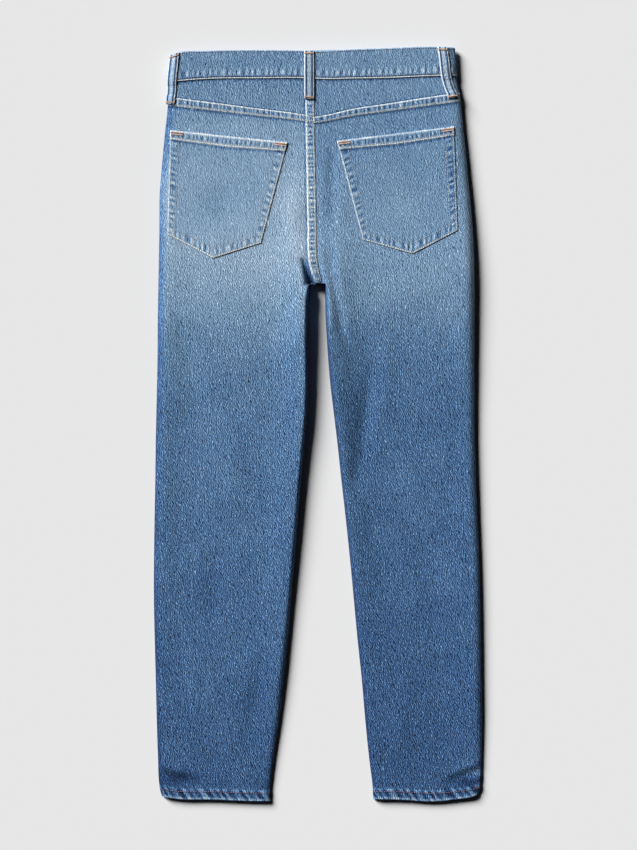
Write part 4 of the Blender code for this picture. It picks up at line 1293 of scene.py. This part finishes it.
def scene_colour(red: float, green: float, blue: float) -> tuple:
    """Linear colour from display values of nought to 255."""
    shown = np.array((red, green, blue)) / 255
    linear = np.where(shown <= 0.04045, shown / 12.92, ((shown + 0.055) / 1.055) ** 2.4)
    return (*[float(value) for value in linear], 1.0)


@dataclass
class Bench:
    """Adds and links the nodes of one tree."""

    tree: bpy.types.NodeTree

    def add(self, kind: str, settings: dict = None, values: dict = None) -> bpy.types.Node:
        """New node.

        Args:
            kind: the node's type name.
            settings: properties to set.
            values: inputs by name or number, each a plain value or a socket to link from.

        Returns:
            The node.
        """
        node = self.tree.nodes.new(kind)
        for key, value in (settings or {}).items():
            setattr(node, key, value)
        for key, value in (values or {}).items():
            if isinstance(value, bpy.types.NodeSocket):
                self.tree.links.new(value, node.inputs[key])
            else:
                node.inputs[key].default_value = value
        return node

    def sum_of(self, operation: str, first, second=0.0, third=0.0) -> bpy.types.NodeSocket:
        """Result of a math node."""
        node = self.add("ShaderNodeMath", {"operation": operation}, {0: first, 1: second, 2: third})
        return node.outputs[0]

    def along(self, place: bpy.types.NodeSocket, direction: tuple) -> bpy.types.NodeSocket:
        """Distance of a place along a direction, as a dot product."""
        node = self.add("ShaderNodeVectorMath", {"operation": "DOT_PRODUCT"}, {0: place, 1: direction})
        return node.outputs["Value"]

    def dashes(self, place: bpy.types.NodeSocket, turn: float, period: float, reach: float) -> bpy.types.NodeSocket:
        """Pale and dark dashes: a sine across them whose phase and strength both wander.

        Args:
            place: position in millimetres.
            turn: direction of the dashes, in degrees from X.
            period: distance from one dash to the next, in millimetres.
            reach: size of the wandering along them.

        Returns:
            A value of about minus one half to one half.
        """
        angle = np.radians(turn)
        side = (float(-np.sin(angle)), float(np.cos(angle)), 0.0)
        phase = self.sum_of("MULTIPLY", self.along(place, side), float(2 * np.pi / period))
        wander = self.streaks(place, turn + 7.0, period * 1.3, reach * 1.3, 0.5)
        strength = self.streaks(place, turn - 9.0, period * 0.8, reach * 0.7, 0.5)
        bent = self.sum_of("MULTIPLY_ADD", wander, 12.0, phase)
        wave = self.sum_of("SINE", bent)
        gain = self.sum_of("MULTIPLY_ADD", strength, 1.5, 0.5)
        return self.sum_of("MULTIPLY", wave, gain)

    def streaks(self, place: bpy.types.NodeSocket, turn: float, across: float, along: float, detail: float) -> bpy.types.NodeSocket:
        """Noise drawn out along one direction, about nought.

        Args:
            place: position in millimetres.
            turn: direction of the streaks, in degrees from X.
            across: size of the noise across them, in millimetres.
            along: size along them.
            detail: octaves of the noise.

        Returns:
            A value of about minus one half to one half.
        """
        angle = np.radians(turn)
        run = (float(np.cos(angle)) / along, float(np.sin(angle)) / along, 0.0)
        side = (float(-np.sin(angle)) / across, float(np.cos(angle)) / across, 0.0)
        spot = self.add("ShaderNodeCombineXYZ", {}, {0: self.along(place, side), 1: self.along(place, run), 2: turn * 0.37})
        noise = self.add("ShaderNodeTexNoise", {"noise_dimensions": "3D"},
                         {"Vector": spot.outputs[0], "Scale": 1.0, "Detail": detail, "Roughness": 0.5})
        return self.sum_of("SUBTRACT", noise.outputs[0], 0.5)


def new_group(name: str, inputs: tuple, outputs: tuple) -> tuple:
    """Empty shader node group.

    Args:
        name: the group's name.
        inputs: pairs of socket name and type.
        outputs: the same for its results.

    Returns:
        The group, its bench, its input node and its output node.
    """
    group = bpy.data.node_groups.new(name, "ShaderNodeTree")
    for way, sockets in (("INPUT", inputs), ("OUTPUT", outputs)):
        for word, kind in sockets:
            group.interface.new_socket(name=word, in_out=way, socket_type=kind)
    return group, Bench(group), group.nodes.new("NodeGroupInput"), group.nodes.new("NodeGroupOutput")


@dataclass(frozen=True)
class Twill:
    """Worn twill: short pale and dark streaks, fine slub and the weave's own lines."""

    name: str = "twill_streaks"
    lean: float = 118.0
    wavelength: float = 2.55
    reach: float = 2.6
    weave: float = 1.15

    def group(self) -> bpy.types.NodeTree:
        """Node group that gives the streaks and the height of the weave at a place in metres."""
        group, bench, given, result = new_group(
            self.name, (("Place", "NodeSocketVector"), ("Depth", "NodeSocketFloat")),
            (("Streak", "NodeSocketFloat"), ("Height", "NodeSocketFloat")))
        scaled = bench.add("ShaderNodeVectorMath", {"operation": "SCALE"}, {0: given.outputs["Place"], "Scale": 1000.0})
        place = scaled.outputs[0]
        leaning = bench.dashes(place, self.lean, self.wavelength, self.reach)
        upright = bench.dashes(place, 91.0, self.wavelength * 0.93, self.reach * 1.3)
        slub = bench.streaks(place, self.lean, 6.0, 24.0, 1.0)
        speck = bench.streaks(place, 60.0, 0.8, 1.0, 0.0)
        cloud = bench.streaks(place, 75.0, 26.0, 46.0, 1.5)
        total = bench.sum_of("MULTIPLY", leaning, 1.15)
        total = bench.sum_of("MULTIPLY_ADD", upright, 0.95, total)
        total = bench.sum_of("MULTIPLY_ADD", slub, 0.14, total)
        total = bench.sum_of("MULTIPLY_ADD", speck, 0.5, total)
        deep = bench.sum_of("MULTIPLY", total, given.outputs["Depth"])
        clouded = bench.sum_of("MULTIPLY_ADD", cloud, 0.05, deep)
        self_lines = bench.sum_of("MULTIPLY", bench.along(place, (0.866 / self.weave, 0.5 / self.weave, 0.0)), 6.2832)
        lines = bench.sum_of("SINE", self_lines)
        height = bench.sum_of("MULTIPLY_ADD", lines, 0.10, total)
        bench.tree.links.new(clouded, result.inputs["Streak"])
        bench.tree.links.new(height, result.inputs["Height"])
        return group


@dataclass(frozen=True)
class FadedDye:
    """Indigo that has washed out: the colour at each value of faded dye and painted shading, from raw dark to bare
    thread.
    """

    name: str = "faded_indigo"
    bleached: float = 0.45
    shaded: float = 2.4
    stops: tuple = (
        (0.0, (10, 20, 48)), (0.22, (36, 64, 105)), (0.36, (60, 95, 139)), (0.52, (95, 131, 167)),
        (0.72, (146, 173, 198)), (1.0, (224, 230, 233)),
    )

    def group(self) -> bpy.types.NodeTree:
        """Node group that turns faded dye with painted shading, wear with some painted shade, and streaks into a
        colour.
        """
        group, bench, given, result = new_group(
            self.name, (("Fade", "NodeSocketFloat"), ("Wear", "NodeSocketFloat"), ("Streak", "NodeSocketFloat")),
            (("Colour", "NodeSocketColor"),))
        worn = bench.sum_of("ADD", given.outputs["Fade"], given.outputs["Wear"])
        calm = bench.add("ShaderNodeMapRange", {}, {0: worn, 1: 0.34, 2: 0.70, 3: 1.0, 4: 0.62})
        streak = bench.sum_of("MULTIPLY", given.outputs["Streak"], calm.outputs[0])
        full = bench.sum_of("MULTIPLY_ADD", streak, self.bleached, worn)
        ramp_node = bench.add("ShaderNodeValToRGB", {}, {"Fac": full})
        band = ramp_node.color_ramp
        while len(band.elements) < len(self.stops):
            band.elements.new(0.5)
        for element, (position, colour) in zip(band.elements, self.stops):
            element.position = position
        for element, (position, colour) in zip(band.elements, self.stops):
            element.color = scene_colour(*colour)
        light = bench.sum_of("MAXIMUM", bench.sum_of("MULTIPLY_ADD", streak, self.shaded, 1.0), 0.15)
        shown = bench.add("ShaderNodeVectorMath", {"operation": "SCALE"},
                          {0: ramp_node.outputs["Color"], "Scale": light})
        bench.tree.links.new(shown.outputs[0], result.inputs["Colour"])
        return group


def principled(name: str, values: dict) -> tuple:
    """Material with one principled shader.

    Args:
        name: the material's name.
        values: the shader's inputs by name.

    Returns:
        The material, its bench and the shader node.
    """
    made = bpy.data.materials.new(name)
    made.use_nodes = True
    bench = Bench(made.node_tree)
    shader = made.node_tree.nodes["Principled BSDF"]
    for key, value in values.items():
        shader.inputs[key].default_value = value
    return made, bench, shader


@dataclass(frozen=True)
class Denim:
    """Finish of one kind of denim piece."""

    name: str
    shift: float = 0.0
    depth: float = 0.34
    wear: float = 1.0

    def build(self, twill: bpy.types.NodeTree, dye: bpy.types.NodeTree) -> bpy.types.Material:
        """Material from the two groups, the piece's own map and its numbers for faded dye with painted shading and for
        wear with some painted shade.

        Args:
            twill: the streak group.
            dye: the colour group.

        Returns:
            The material.
        """
        made, bench, shader = principled(self.name, {
            "Roughness": 0.86, "Specular IOR Level": 0.16, "Sheen Weight": 0.06, "Sheen Roughness": 0.5})
        cloth = bench.add("ShaderNodeUVMap", {"uv_map": "cloth"})
        streaks = bench.add("ShaderNodeGroup", {"node_tree": twill}, {"Place": cloth.outputs[0], "Depth": self.depth})
        fade = bench.add("ShaderNodeAttribute", {"attribute_name": "fade"})
        wear = bench.add("ShaderNodeAttribute", {"attribute_name": "wear"})
        base = bench.sum_of("ADD", fade.outputs["Fac"], self.shift)
        worn = bench.sum_of("MULTIPLY", wear.outputs["Fac"], self.wear)
        colour = bench.add("ShaderNodeGroup", {"node_tree": dye},
                           {"Fade": base, "Wear": worn, "Streak": streaks.outputs["Streak"]})
        bump = bench.add("ShaderNodeBump", {}, {"Strength": 0.5, "Distance": 0.0004, "Height": streaks.outputs["Height"]})
        bench.tree.links.new(colour.outputs["Colour"], shader.inputs["Base Color"])
        bench.tree.links.new(bump.outputs["Normal"], shader.inputs["Normal"])
        return made


@dataclass(frozen=True)
class Plain:
    """Finish of thread, tape and metal: one colour, a little uneven by a fine noise."""

    name: str
    colour: tuple
    roughness: float = 0.8
    metallic: float = 0.0
    uneven: float = 0.15

    def build(self) -> bpy.types.Material:
        """Material whose colour varies between two close shades."""
        made, bench, shader = principled(self.name, {"Roughness": self.roughness, "Metallic": self.metallic})
        place = bench.add("ShaderNodeTexCoord")
        noise = bench.add("ShaderNodeTexNoise", {}, {"Vector": place.outputs["Object"], "Scale": 220.0, "Detail": 2.0})
        light = np.array(self.colour) * (1 + self.uneven)
        dark = np.array(self.colour) * (1 - self.uneven)
        mix = bench.add("ShaderNodeMix", {"data_type": "RGBA"}, {0: noise.outputs[0]})
        mix.inputs[6].default_value = scene_colour(*np.clip(dark, 0, 255))
        mix.inputs[7].default_value = scene_colour(*np.clip(light, 0, 255))
        bench.tree.links.new(mix.outputs[2], shader.inputs["Base Color"])
        return made


def flat_size(skin: Skin) -> tuple:
    """Size of a piece's cut, from its outer face.

    Args:
        skin: the piece's skin.

    Returns:
        Width and length in metres, and the area in square metres.
    """
    right = np.diff(skin.outer, axis=1)
    down = np.diff(skin.outer, axis=0)
    width = np.linalg.norm(right, axis=2).sum(axis=1).max()
    length = np.linalg.norm(down, axis=2).sum(axis=0).max()
    area = np.linalg.norm(np.cross(right[:-1], down[:, :-1]), axis=2).sum()
    width, length, area = width * MM, length * MM, area * MM * MM
    return (width, length), float(np.clip(area, 0.31 * width * length, width * length))


def lay(name: str, skin: Skin, look: bpy.types.Material, node: str) -> bpy.types.Object:
    """Piece of cloth in the scene that stands for its node, whose part is hidden.

    Args:
        name: the piece's name.
        skin: its skin.
        look: its material.
        node: the node it replaces.

    Returns:
        The object.
    """
    made = place(name, skin.mesh(name), look)
    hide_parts(node)
    flat, area = flat_size(skin)
    return made


@dataclass
class FrontLoop:
    """Belt loop under the front of the band."""

    side: Side
    place: float = 88.0
    width: float = 13.3
    cloth: float = 1.6
    lift: float = 0.35
    skin: Skin = None

    def build(self) -> Skin:
        """Grid below the band, stepped up to the front panel under it."""
        form = CLOTH_FORM
        levels = np.linspace(496.5, 431.0, 34)
        level = levels[:, None]
        across = np.linspace(0, self.width, 13)[None, :] + 0 * level
        x = self.side.value * self.place - self.width / 2 + across
        y = form.front_height(self.side, level, x)
        under = np.interp(levels, (431.0, 447.0, 453.0, 496.5), (0.0, 0.0, 1.0, 1.0))[:, None]
        high = np.stack((x, y, form.lift(level) - under - self.lift + 0 * x), axis=2)
        rim = soft_bell(across, 0.8) + soft_bell(self.width - across, 0.8)
        low = high - np.stack((0 * x, 0 * x, self.cloth - 0.4 * rim), axis=2)
        wear = 0.2 * rim + 0.08 * ladder(y, 6.2, 2.0) * soft_bell(across - self.width / 2, 3.6)
        fade = DYE_AND_SHADING.at(self.side, x, y) + 0.05
        self.skin = Skin(low, high, np.stack((across + 1300.0, y), axis=2), fade, wear)
        return self.skin


@dataclass
class WaistButton:
    """Shank button under the front of the band: a dished disc with a rolled rim."""

    radius: float = 8.5
    height: float = 2.2
    inset: float = 14.0
    level: float = 477.0
    turns: int = 48

    def build(self, look: bpy.types.Material) -> bpy.types.Object:
        """Surface turned about an upright axis, closed at both faces' middles."""
        profile = np.array((
            (0.01, 2.2), (0.9, 2.2), (0.985, 2.12), (1.0, 1.9), (1.0, 0.75), (0.975, 0.35), (0.91, 0.08),
            (0.84, 0.0), (0.77, 0.08), (0.72, 0.3), (0.6, 0.5), (0.34, 0.5), (0.28, 0.3), (0.2, 0.2), (0.01, 0.2),
        ))
        turn = np.linspace(0, 2 * np.pi, self.turns, endpoint=False)
        out = profile[:, :1] * self.radius
        centre = (SEAT_SEAM.at("across", self.level) - self.inset, self.level)
        points = np.stack((centre[0] + out * np.cos(turn), centre[1] + out * np.sin(turn),
                           profile[:, 1:] * self.height / 2.2 + 0 * turn), axis=2)
        index = np.arange(points.shape[0] * self.turns).reshape(-1, self.turns)
        after = np.roll(index, -1, axis=1)
        faces = np.stack((index[:-1], index[1:], after[1:], after[:-1]), axis=-1).reshape(-1, 4)
        made = place("waist_button", mesh_of("waist_button", points.reshape(-1, 3), faces[:, ::-1]), look)
        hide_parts("waist_button")
        return made


@dataclass
class Zip:
    """Closed zip between the fly flap and the back: tape, two rows of teeth and the slider."""

    underside: Underside
    width: float = 26.0
    foot: float = 327.0
    above: float = 1.5
    cloth: float = 1.0
    tooth: tuple = (2.4, 0.9, 0.9)
    pitch: float = 1.5

    def middle(self, level: float) -> float:
        """The zip's middle line."""
        return self.underside.inner(Side.LEFT, level) - self.underside.fly_width * 0.4

    def tape(self) -> FlatPiece:
        """The tape as a flat piece."""
        return FlatPiece("zip_tape", "zip_tape", Side.LEFT, lambda level: self.middle(level) - self.width / 2,
                         lambda level: self.middle(level) + self.width / 2, 457.85, self.foot,
                         above=self.above, cloth=self.cloth, columns=14, pitch=4.0)

    def boxes(self, name: str, centres: np.ndarray, size: tuple, look: bpy.types.Material) -> bpy.types.Object:
        """Equal boxes at the given centres, as one mesh."""
        corner = np.array([(i, j, k) for k in (-0.5, 0.5) for j in (-0.5, 0.5) for i in (-0.5, 0.5)]) * size
        quads = np.array(((0, 2, 3, 1), (4, 5, 7, 6), (0, 1, 5, 4), (2, 6, 7, 3), (0, 4, 6, 2), (1, 3, 7, 5)))
        points = centres[:, None] + corner[None]
        faces = quads[None] + 8 * np.arange(len(centres))[:, None, None]
        return place(name, mesh_of(name, points.reshape(-1, 3), faces.reshape(-1, 4), smooth=False), look)

    def teeth(self, look: bpy.types.Material) -> bpy.types.Object:
        """Teeth of both rows, meshed in turn along the middle line."""
        form = CLOTH_FORM
        levels = np.arange(self.foot + 4, 440.0, self.pitch / 2)
        x = np.array([self.middle(level) for level in levels]) + np.where(np.arange(len(levels)) % 2, 0.8, -0.8)
        y = form.front_height(Side.LEFT, levels[:, None], x[:, None])[:, 0]
        z = form.lift(levels) + self.above + self.cloth + self.tooth[2] / 2
        return self.boxes("zip_teeth", np.stack((x, y, z), axis=1), self.tooth, look)

    def slider(self, look: bpy.types.Material) -> bpy.types.Object:
        """Slider body with a bevelled top."""
        x = self.middle(457.85)
        base = float(CLOTH_FORM.lift(447.0)) + self.above + self.cloth + 0.3
        outline = np.array(((-0.5, -0.3), (-0.42, 0.2), (-0.28, 0.5), (0.28, 0.5), (0.42, 0.2), (0.5, -0.3),
                            (0.25, -0.5), (-0.25, -0.5)))
        rings = []
        for share, up in ((0.94, 0.0), (1.0, 0.25), (1.0, 1.0), (0.9, 1.4), (0.03, 1.4)):
            plan = outline * (9.0 * share, 12.0 * share) + (x, 446.0)
            rings.append(np.column_stack((plan, np.full(len(plan), base + up))))
        points = np.stack(rings)
        index = np.arange(points.shape[0] * len(outline)).reshape(-1, len(outline))
        after = np.roll(index, -1, axis=1)
        faces = np.stack((index[:-1], index[1:], after[1:], after[:-1]), axis=-1).reshape(-1, 4)
        made = place("zip_slider", mesh_of("zip_slider", points.reshape(-1, 3), faces, smooth=False), look)
        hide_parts("zip_slider")
        return made


@dataclass
class Studio:
    """Pale floor, soft light from the upper left and a camera straight above."""

    centre: tuple = (0.00067, -0.00067)
    frame_height: float = 1.1305
    lens: float = 100.0
    sensor: float = 36.0
    key_turn: float = 137.0
    key_height: float = 26.5
    key_spread: float = 27.0
    key_energy: float = 6.80
    sky_energy: float = 0.006

    def build(self) -> None:
        """Adds the floor, the lights and the camera."""
        size = 4.0
        corners = np.array(((-size, -size, 0), (size, -size, 0), (size, size, 0), (-size, size, 0))) / MM
        corners[:, 2] = -0.3
        mesh = mesh_of("floor", corners, np.array(((0, 1, 2, 3),)), smooth=False)
        made, _, _ = principled("floor_paper", {
            "Base Color": (0.82, 0.82, 0.82, 1.0), "Roughness": 0.95, "Specular IOR Level": 0.05})
        mesh.materials.append(made)
        floor = bpy.data.objects.new("floor", mesh)
        bpy.context.collection.objects.link(floor)
        self.light()
        self.camera()

    def light(self) -> None:
        """One wide key light and an even sky."""
        lamp = bpy.data.lights.new("key", "SUN")
        lamp.energy = self.key_energy
        lamp.angle = np.radians(self.key_spread)
        key = bpy.data.objects.new("key", lamp)
        bpy.context.collection.objects.link(key)
        turn, up = np.radians(self.key_turn), np.radians(self.key_height)
        key.rotation_euler = (np.pi / 2 - up, 0.0, turn + np.pi / 2)
        sky = bpy.data.worlds.new("sky")
        sky.use_nodes = True
        sky.node_tree.nodes["Background"].inputs["Color"].default_value = (1.0, 1.0, 1.0, 1.0)
        sky.node_tree.nodes["Background"].inputs["Strength"].default_value = self.sky_energy
        bpy.context.scene.world = sky

    def camera(self) -> None:
        """Camera whose picture is as high as the frame height on the floor."""
        data = bpy.data.cameras.new("camera")
        data.lens = self.lens
        data.sensor_width = self.sensor
        distance = self.frame_height / 2 / (self.sensor / 2 / self.lens)
        data.clip_end = 4 * distance
        eye = bpy.data.objects.new("camera", data)
        eye.location = (*self.centre, distance)
        bpy.context.collection.objects.link(eye)
        bpy.context.scene.camera = eye
        bpy.context.scene.view_settings.view_transform = "Standard"


@dataclass
class Seamstress:
    """Sews the finished skins: topstitch rows and bar tacks, by thread."""

    pale: Thread = Thread()
    heavy: Thread = Thread(radius=0.42, arch=0.34)

    def column(self, skin: Skin, from_start: float = None, from_end: float = None) -> float:
        """Column of a panel's grid at a distance from its hidden edge or from its inner end."""
        if from_start is not None:
            return float(np.interp(from_start, EDGE_STEPS, np.arange(len(EDGE_STEPS))))
        last = skin.outer.shape[1] - 1 - PANEL_PLACES.tail
        return last - float(np.interp(from_end, SEAM_STEPS, np.arange(len(SEAM_STEPS))))

    def row(self, levels: np.ndarray, level: float) -> float:
        """Row of a grid at a level."""
        return float(np.interp(-level, -levels, np.arange(len(levels))))

    def panel(self, panel: BackPanel, look: bpy.types.Material) -> bpy.types.Object:
        """Both rows of the yoke lap, and the seat lap's rows on the left."""
        sewing = Sewing(f"panel_stitches_{panel.side.word}", self.pale)
        skin, levels = panel.skin, panel.levels()
        last = self.column(skin, from_end=0.8)
        first = self.column(skin, from_start=9.0)
        for down in (1.9, 7.6):
            columns = np.linspace(first, last, 160)
            sewing.row(skin.trace(self.row(levels, 418.0 - down), columns, 0.0))
        if panel.side is Side.LEFT:
            rows = np.linspace(1.0, self.row(levels, 189.0), 260)
            for inward in (1.9, 9.6):
                sewing.row(skin.trace(rows, self.column(skin, from_end=inward), 0.0))
        return sewing.build(look)

    def hem(self, panel: BackPanel, look: bpy.types.Material) -> bpy.types.Object:
        """The row that holds the hem, from the outer edge round to the inseam."""
        sewing = Sewing(f"hem_stitches_{panel.side.word}", self.pale)
        first = self.column(panel.skin, from_start=9.0)
        columns = np.linspace(first, panel.skin.outer.shape[1] - 7.0, 120)
        sewing.row(panel.skin.trace(self.row(panel.levels(), -487.0), columns, 0.0))
        return sewing.build(look)

    def yoke(self, yoke: Yoke, look: bpy.types.Material) -> bpy.types.Object:
        """The seat lap's two rows up the yoke."""
        sewing = Sewing("yoke_stitches_left", self.pale)
        rows = np.linspace(1.0, yoke.skin.outer.shape[0] - 1.5, 40)
        for inward in (1.9, 9.6):
            sewing.row(yoke.skin.trace(rows, self.column(yoke.skin, from_end=inward), 0.0))
        return sewing.build(look)

    def band(self, band: Waistband, look: bpy.types.Material) -> bpy.types.Object:
        """Rows all round the band, near its foot and near its top."""
        sewing = Sewing("band_stitches", self.heavy)
        columns = np.linspace(1.0, band.skin.outer.shape[1] - 2.0, 700)
        for level in (461.0, 494.8):
            sewing.row(band.skin.trace(self.row(band.levels(), level), columns, 0.0), pitch=3.1, drawn=0.7)
        return sewing.build(look)

    def loop(self, loop: BeltLoop, rows: Sewing, tacks: Sewing) -> None:
        """Two rows along the loop and a bar tack across each end."""
        skin = loop.skin
        across = np.array((2.6, loop.width - 2.6)) / loop.width * (skin.outer.shape[1] - 1)
        down = np.linspace(2.0, skin.outer.shape[0] - 3.0, 60)
        for column in across:
            rows.row(skin.trace(down, column, 0.0), pitch=2.7, drawn=0.72)
        columns = np.linspace(0.6, skin.outer.shape[1] - 1.6, 12)
        for row in (3.0, skin.outer.shape[0] - 3.2):
            tacks.tack(skin.trace(row, columns, 0.1), width=2.4, threads=18)

    def pocket(self, pocket: PatchPocket, look: bpy.types.Material) -> bpy.types.Object:
        """Two rows round the sides and foot, and one under the opening's hem."""
        sewing = Sewing(f"pocket_stitches_{pocket.side.word}", self.pale)
        skin = pocket.skin
        for inset in (pocket.outer_row, pocket.inner_row):
            left = np.interp(inset / 150, pocket.across, np.arange(len(pocket.across)))
            right = skin.outer.shape[1] - 1 - left
            foot = np.interp(1 - inset / 140, pocket.down, np.arange(len(pocket.down)))
            head = np.interp(1.0 / 140, pocket.down, np.arange(len(pocket.down)))
            down = np.linspace(head, foot, 80)
            across = np.linspace(left, right, 120)
            for path in (skin.trace(down, left, 0.0), skin.trace(foot, across, 0.0), skin.trace(down, right, 0.0)):
                sewing.row(path)
        hem = np.interp(9.6 / 140, pocket.down, np.arange(len(pocket.down)))
        inside = np.linspace(2.0, skin.outer.shape[1] - 3.0, 120)
        sewing.row(skin.trace(hem, inside, 0.0))
        return sewing.build(look)

    def pocket_tacks(self, pocket: PatchPocket, tacks: Sewing, pale: Sewing) -> None:
        """A bar tack of two rows across each corner of the opening."""
        skin = pocket.skin
        for start in (1.0, 134.0):
            columns = np.interp(np.linspace(start, start + 15.0, 12) / 150, pocket.across, np.arange(len(pocket.across)))
            for down, sewing in ((2.6, tacks), (5.0, pale)):
                row = np.interp(down / 140, pocket.down, np.arange(len(pocket.down)))
                sewing.tack(skin.trace(row, columns, 0.1), width=2.1, threads=20)

    def flat_rows(self, name: str, piece: FlatPiece, insets: tuple, look: bpy.types.Material) -> bpy.types.Object:
        """Rows down both sides of a flat piece, near its edges."""
        sewing = Sewing(name, self.pale)
        rows = np.linspace(1.0, piece.skin.outer.shape[0] - 2.0, 200)
        widths = np.linalg.norm(piece.skin.outer[:, -1] - piece.skin.outer[:, 0], axis=1)
        for inset in insets:
            share = np.interp(rows, np.arange(len(widths)), np.clip(inset / np.maximum(widths, 1.0), 0.02, 0.5))
            sewing.row(piece.skin.trace(rows, share * (piece.columns - 1), 0.0))
        return sewing.build(look)


POCKETS = {
    Side.LEFT: {
        "open_outer": (-195.6, 390.0), "open_inner": (-40.4, 374.0),
        "foot_outer": (-199.4, 252.0), "point": (-138.7, 220.4), "foot_inner": (-75.5, 240.5),
    },
    Side.RIGHT: {
        "open_outer": (180.2, 395.0), "open_inner": (25.2, 376.0),
        "foot_outer": (185.0, 257.2), "point": (125.6, 226.2), "foot_inner": (59.4, 244.8),
    },
}


def main() -> None:
    """Builds every piece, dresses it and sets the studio."""
    logging.basicConfig(level=logging.INFO, format="%(message)s")
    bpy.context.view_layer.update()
    twill = Twill().group()
    dye = FadedDye().group()
    leg = Denim("denim_leg").build(twill, dye)
    seat = Denim("denim_seat", shift=0.0).build(twill, dye)
    band_look = Denim("denim_band", depth=0.29).build(twill, dye)
    pocket_look = Denim("denim_pocket", depth=0.27).build(twill, dye)
    loop_look = Denim("denim_loop", depth=0.18).build(twill, dye)
    ecru = Plain("thread_ecru", (205, 206, 200)).build()
    brown = Plain("thread_brown", (96, 78, 70)).build()
    tan = Plain("thread_tan", (200, 158, 124)).build()
    pink = Plain("thread_pink", (222, 196, 190)).build()
    mauve = Plain("thread_mauve", (150, 126, 140)).build()
    brass = Plain("brass", (176, 128, 70), roughness=0.35, metallic=1.0).build()
    tape_look = Denim("zip_tape", shift=-0.3, depth=0.1).build(twill, dye)
    sew = Seamstress()
    underside = Underside()

    for side in Side:
        word = side.word
        front = underside.front(side)
        lay(front.name, front.build(), leg, front.node)
        facing = underside.facing(side)
        lay(facing.name, facing.build(), seat, facing.node)
        sew.flat_rows(f"front_stitches_{word}", front, (2.0, 8.0), ecru)
        panel = BackPanel(side)
        lay(f"back_leg_{word}", panel.build(), leg, f"back_leg_{word}")
        sew.panel(panel, ecru)
        sew.hem(panel, mauve)
        yoke = Yoke(side)
        lay(f"yoke_{word}", yoke.build(), seat, f"yoke_{word}")
        if side is Side.LEFT:
            sew.yoke(yoke, ecru)
        pocket = PatchPocket(side, POCKETS[side])
        lay(f"back_pocket_{word}", pocket.build(), pocket_look, f"back_pocket_{word}")
        sew.pocket(pocket, ecru)
        tacks, pale = Sewing(f"pocket_tacks_{word}", sew.pale), Sewing(f"pocket_tacks_pale_{word}", sew.pale)
        sew.pocket_tacks(pocket, tacks, pale)
        tacks.build(tan)
        pale.build(pink)
        loop = FrontLoop(side)
        lay(f"belt_loop_front_{word}", loop.build(), loop_look, f"belt_loop_front_{word}")

    band = Waistband()
    lay("waistband", band.build(), band_look, "waistband")
    sew.band(band, brown)
    rows, tacks = Sewing("loop_stitches", sew.pale), Sewing("loop_tacks", sew.heavy)
    for loop in (BeltLoop("left", Side.LEFT, 9.6, width=12.4, foot=409.8),
                 BeltLoop("centre", Side.LEFT, -13.4, laps_under=True),
                 BeltLoop("right", Side.RIGHT, 20.5, lean=-5.0, foot=412.6)):
        name = f"belt_loop_back_{loop.word}"
        lay(name, loop.build(), loop_look, name)
        sew.loop(loop, rows, tacks)
    rows.build(brown)
    tacks.build(tan)

    flap = underside.flap()
    lay("fly_flap", flap.build(), seat, "fly_flap")
    sew.flat_rows("fly_stitches", flap, (2.2, 8.0), ecru)
    closure = Zip(underside)
    tape = closure.tape()
    lay("zip_tape", tape.build(), tape_look, "zip_tape")
    closure.teeth(brass)
    closure.slider(brass)
    WaistButton().build(brass)

    Studio().build()


if __name__ == "__main__":
    main()
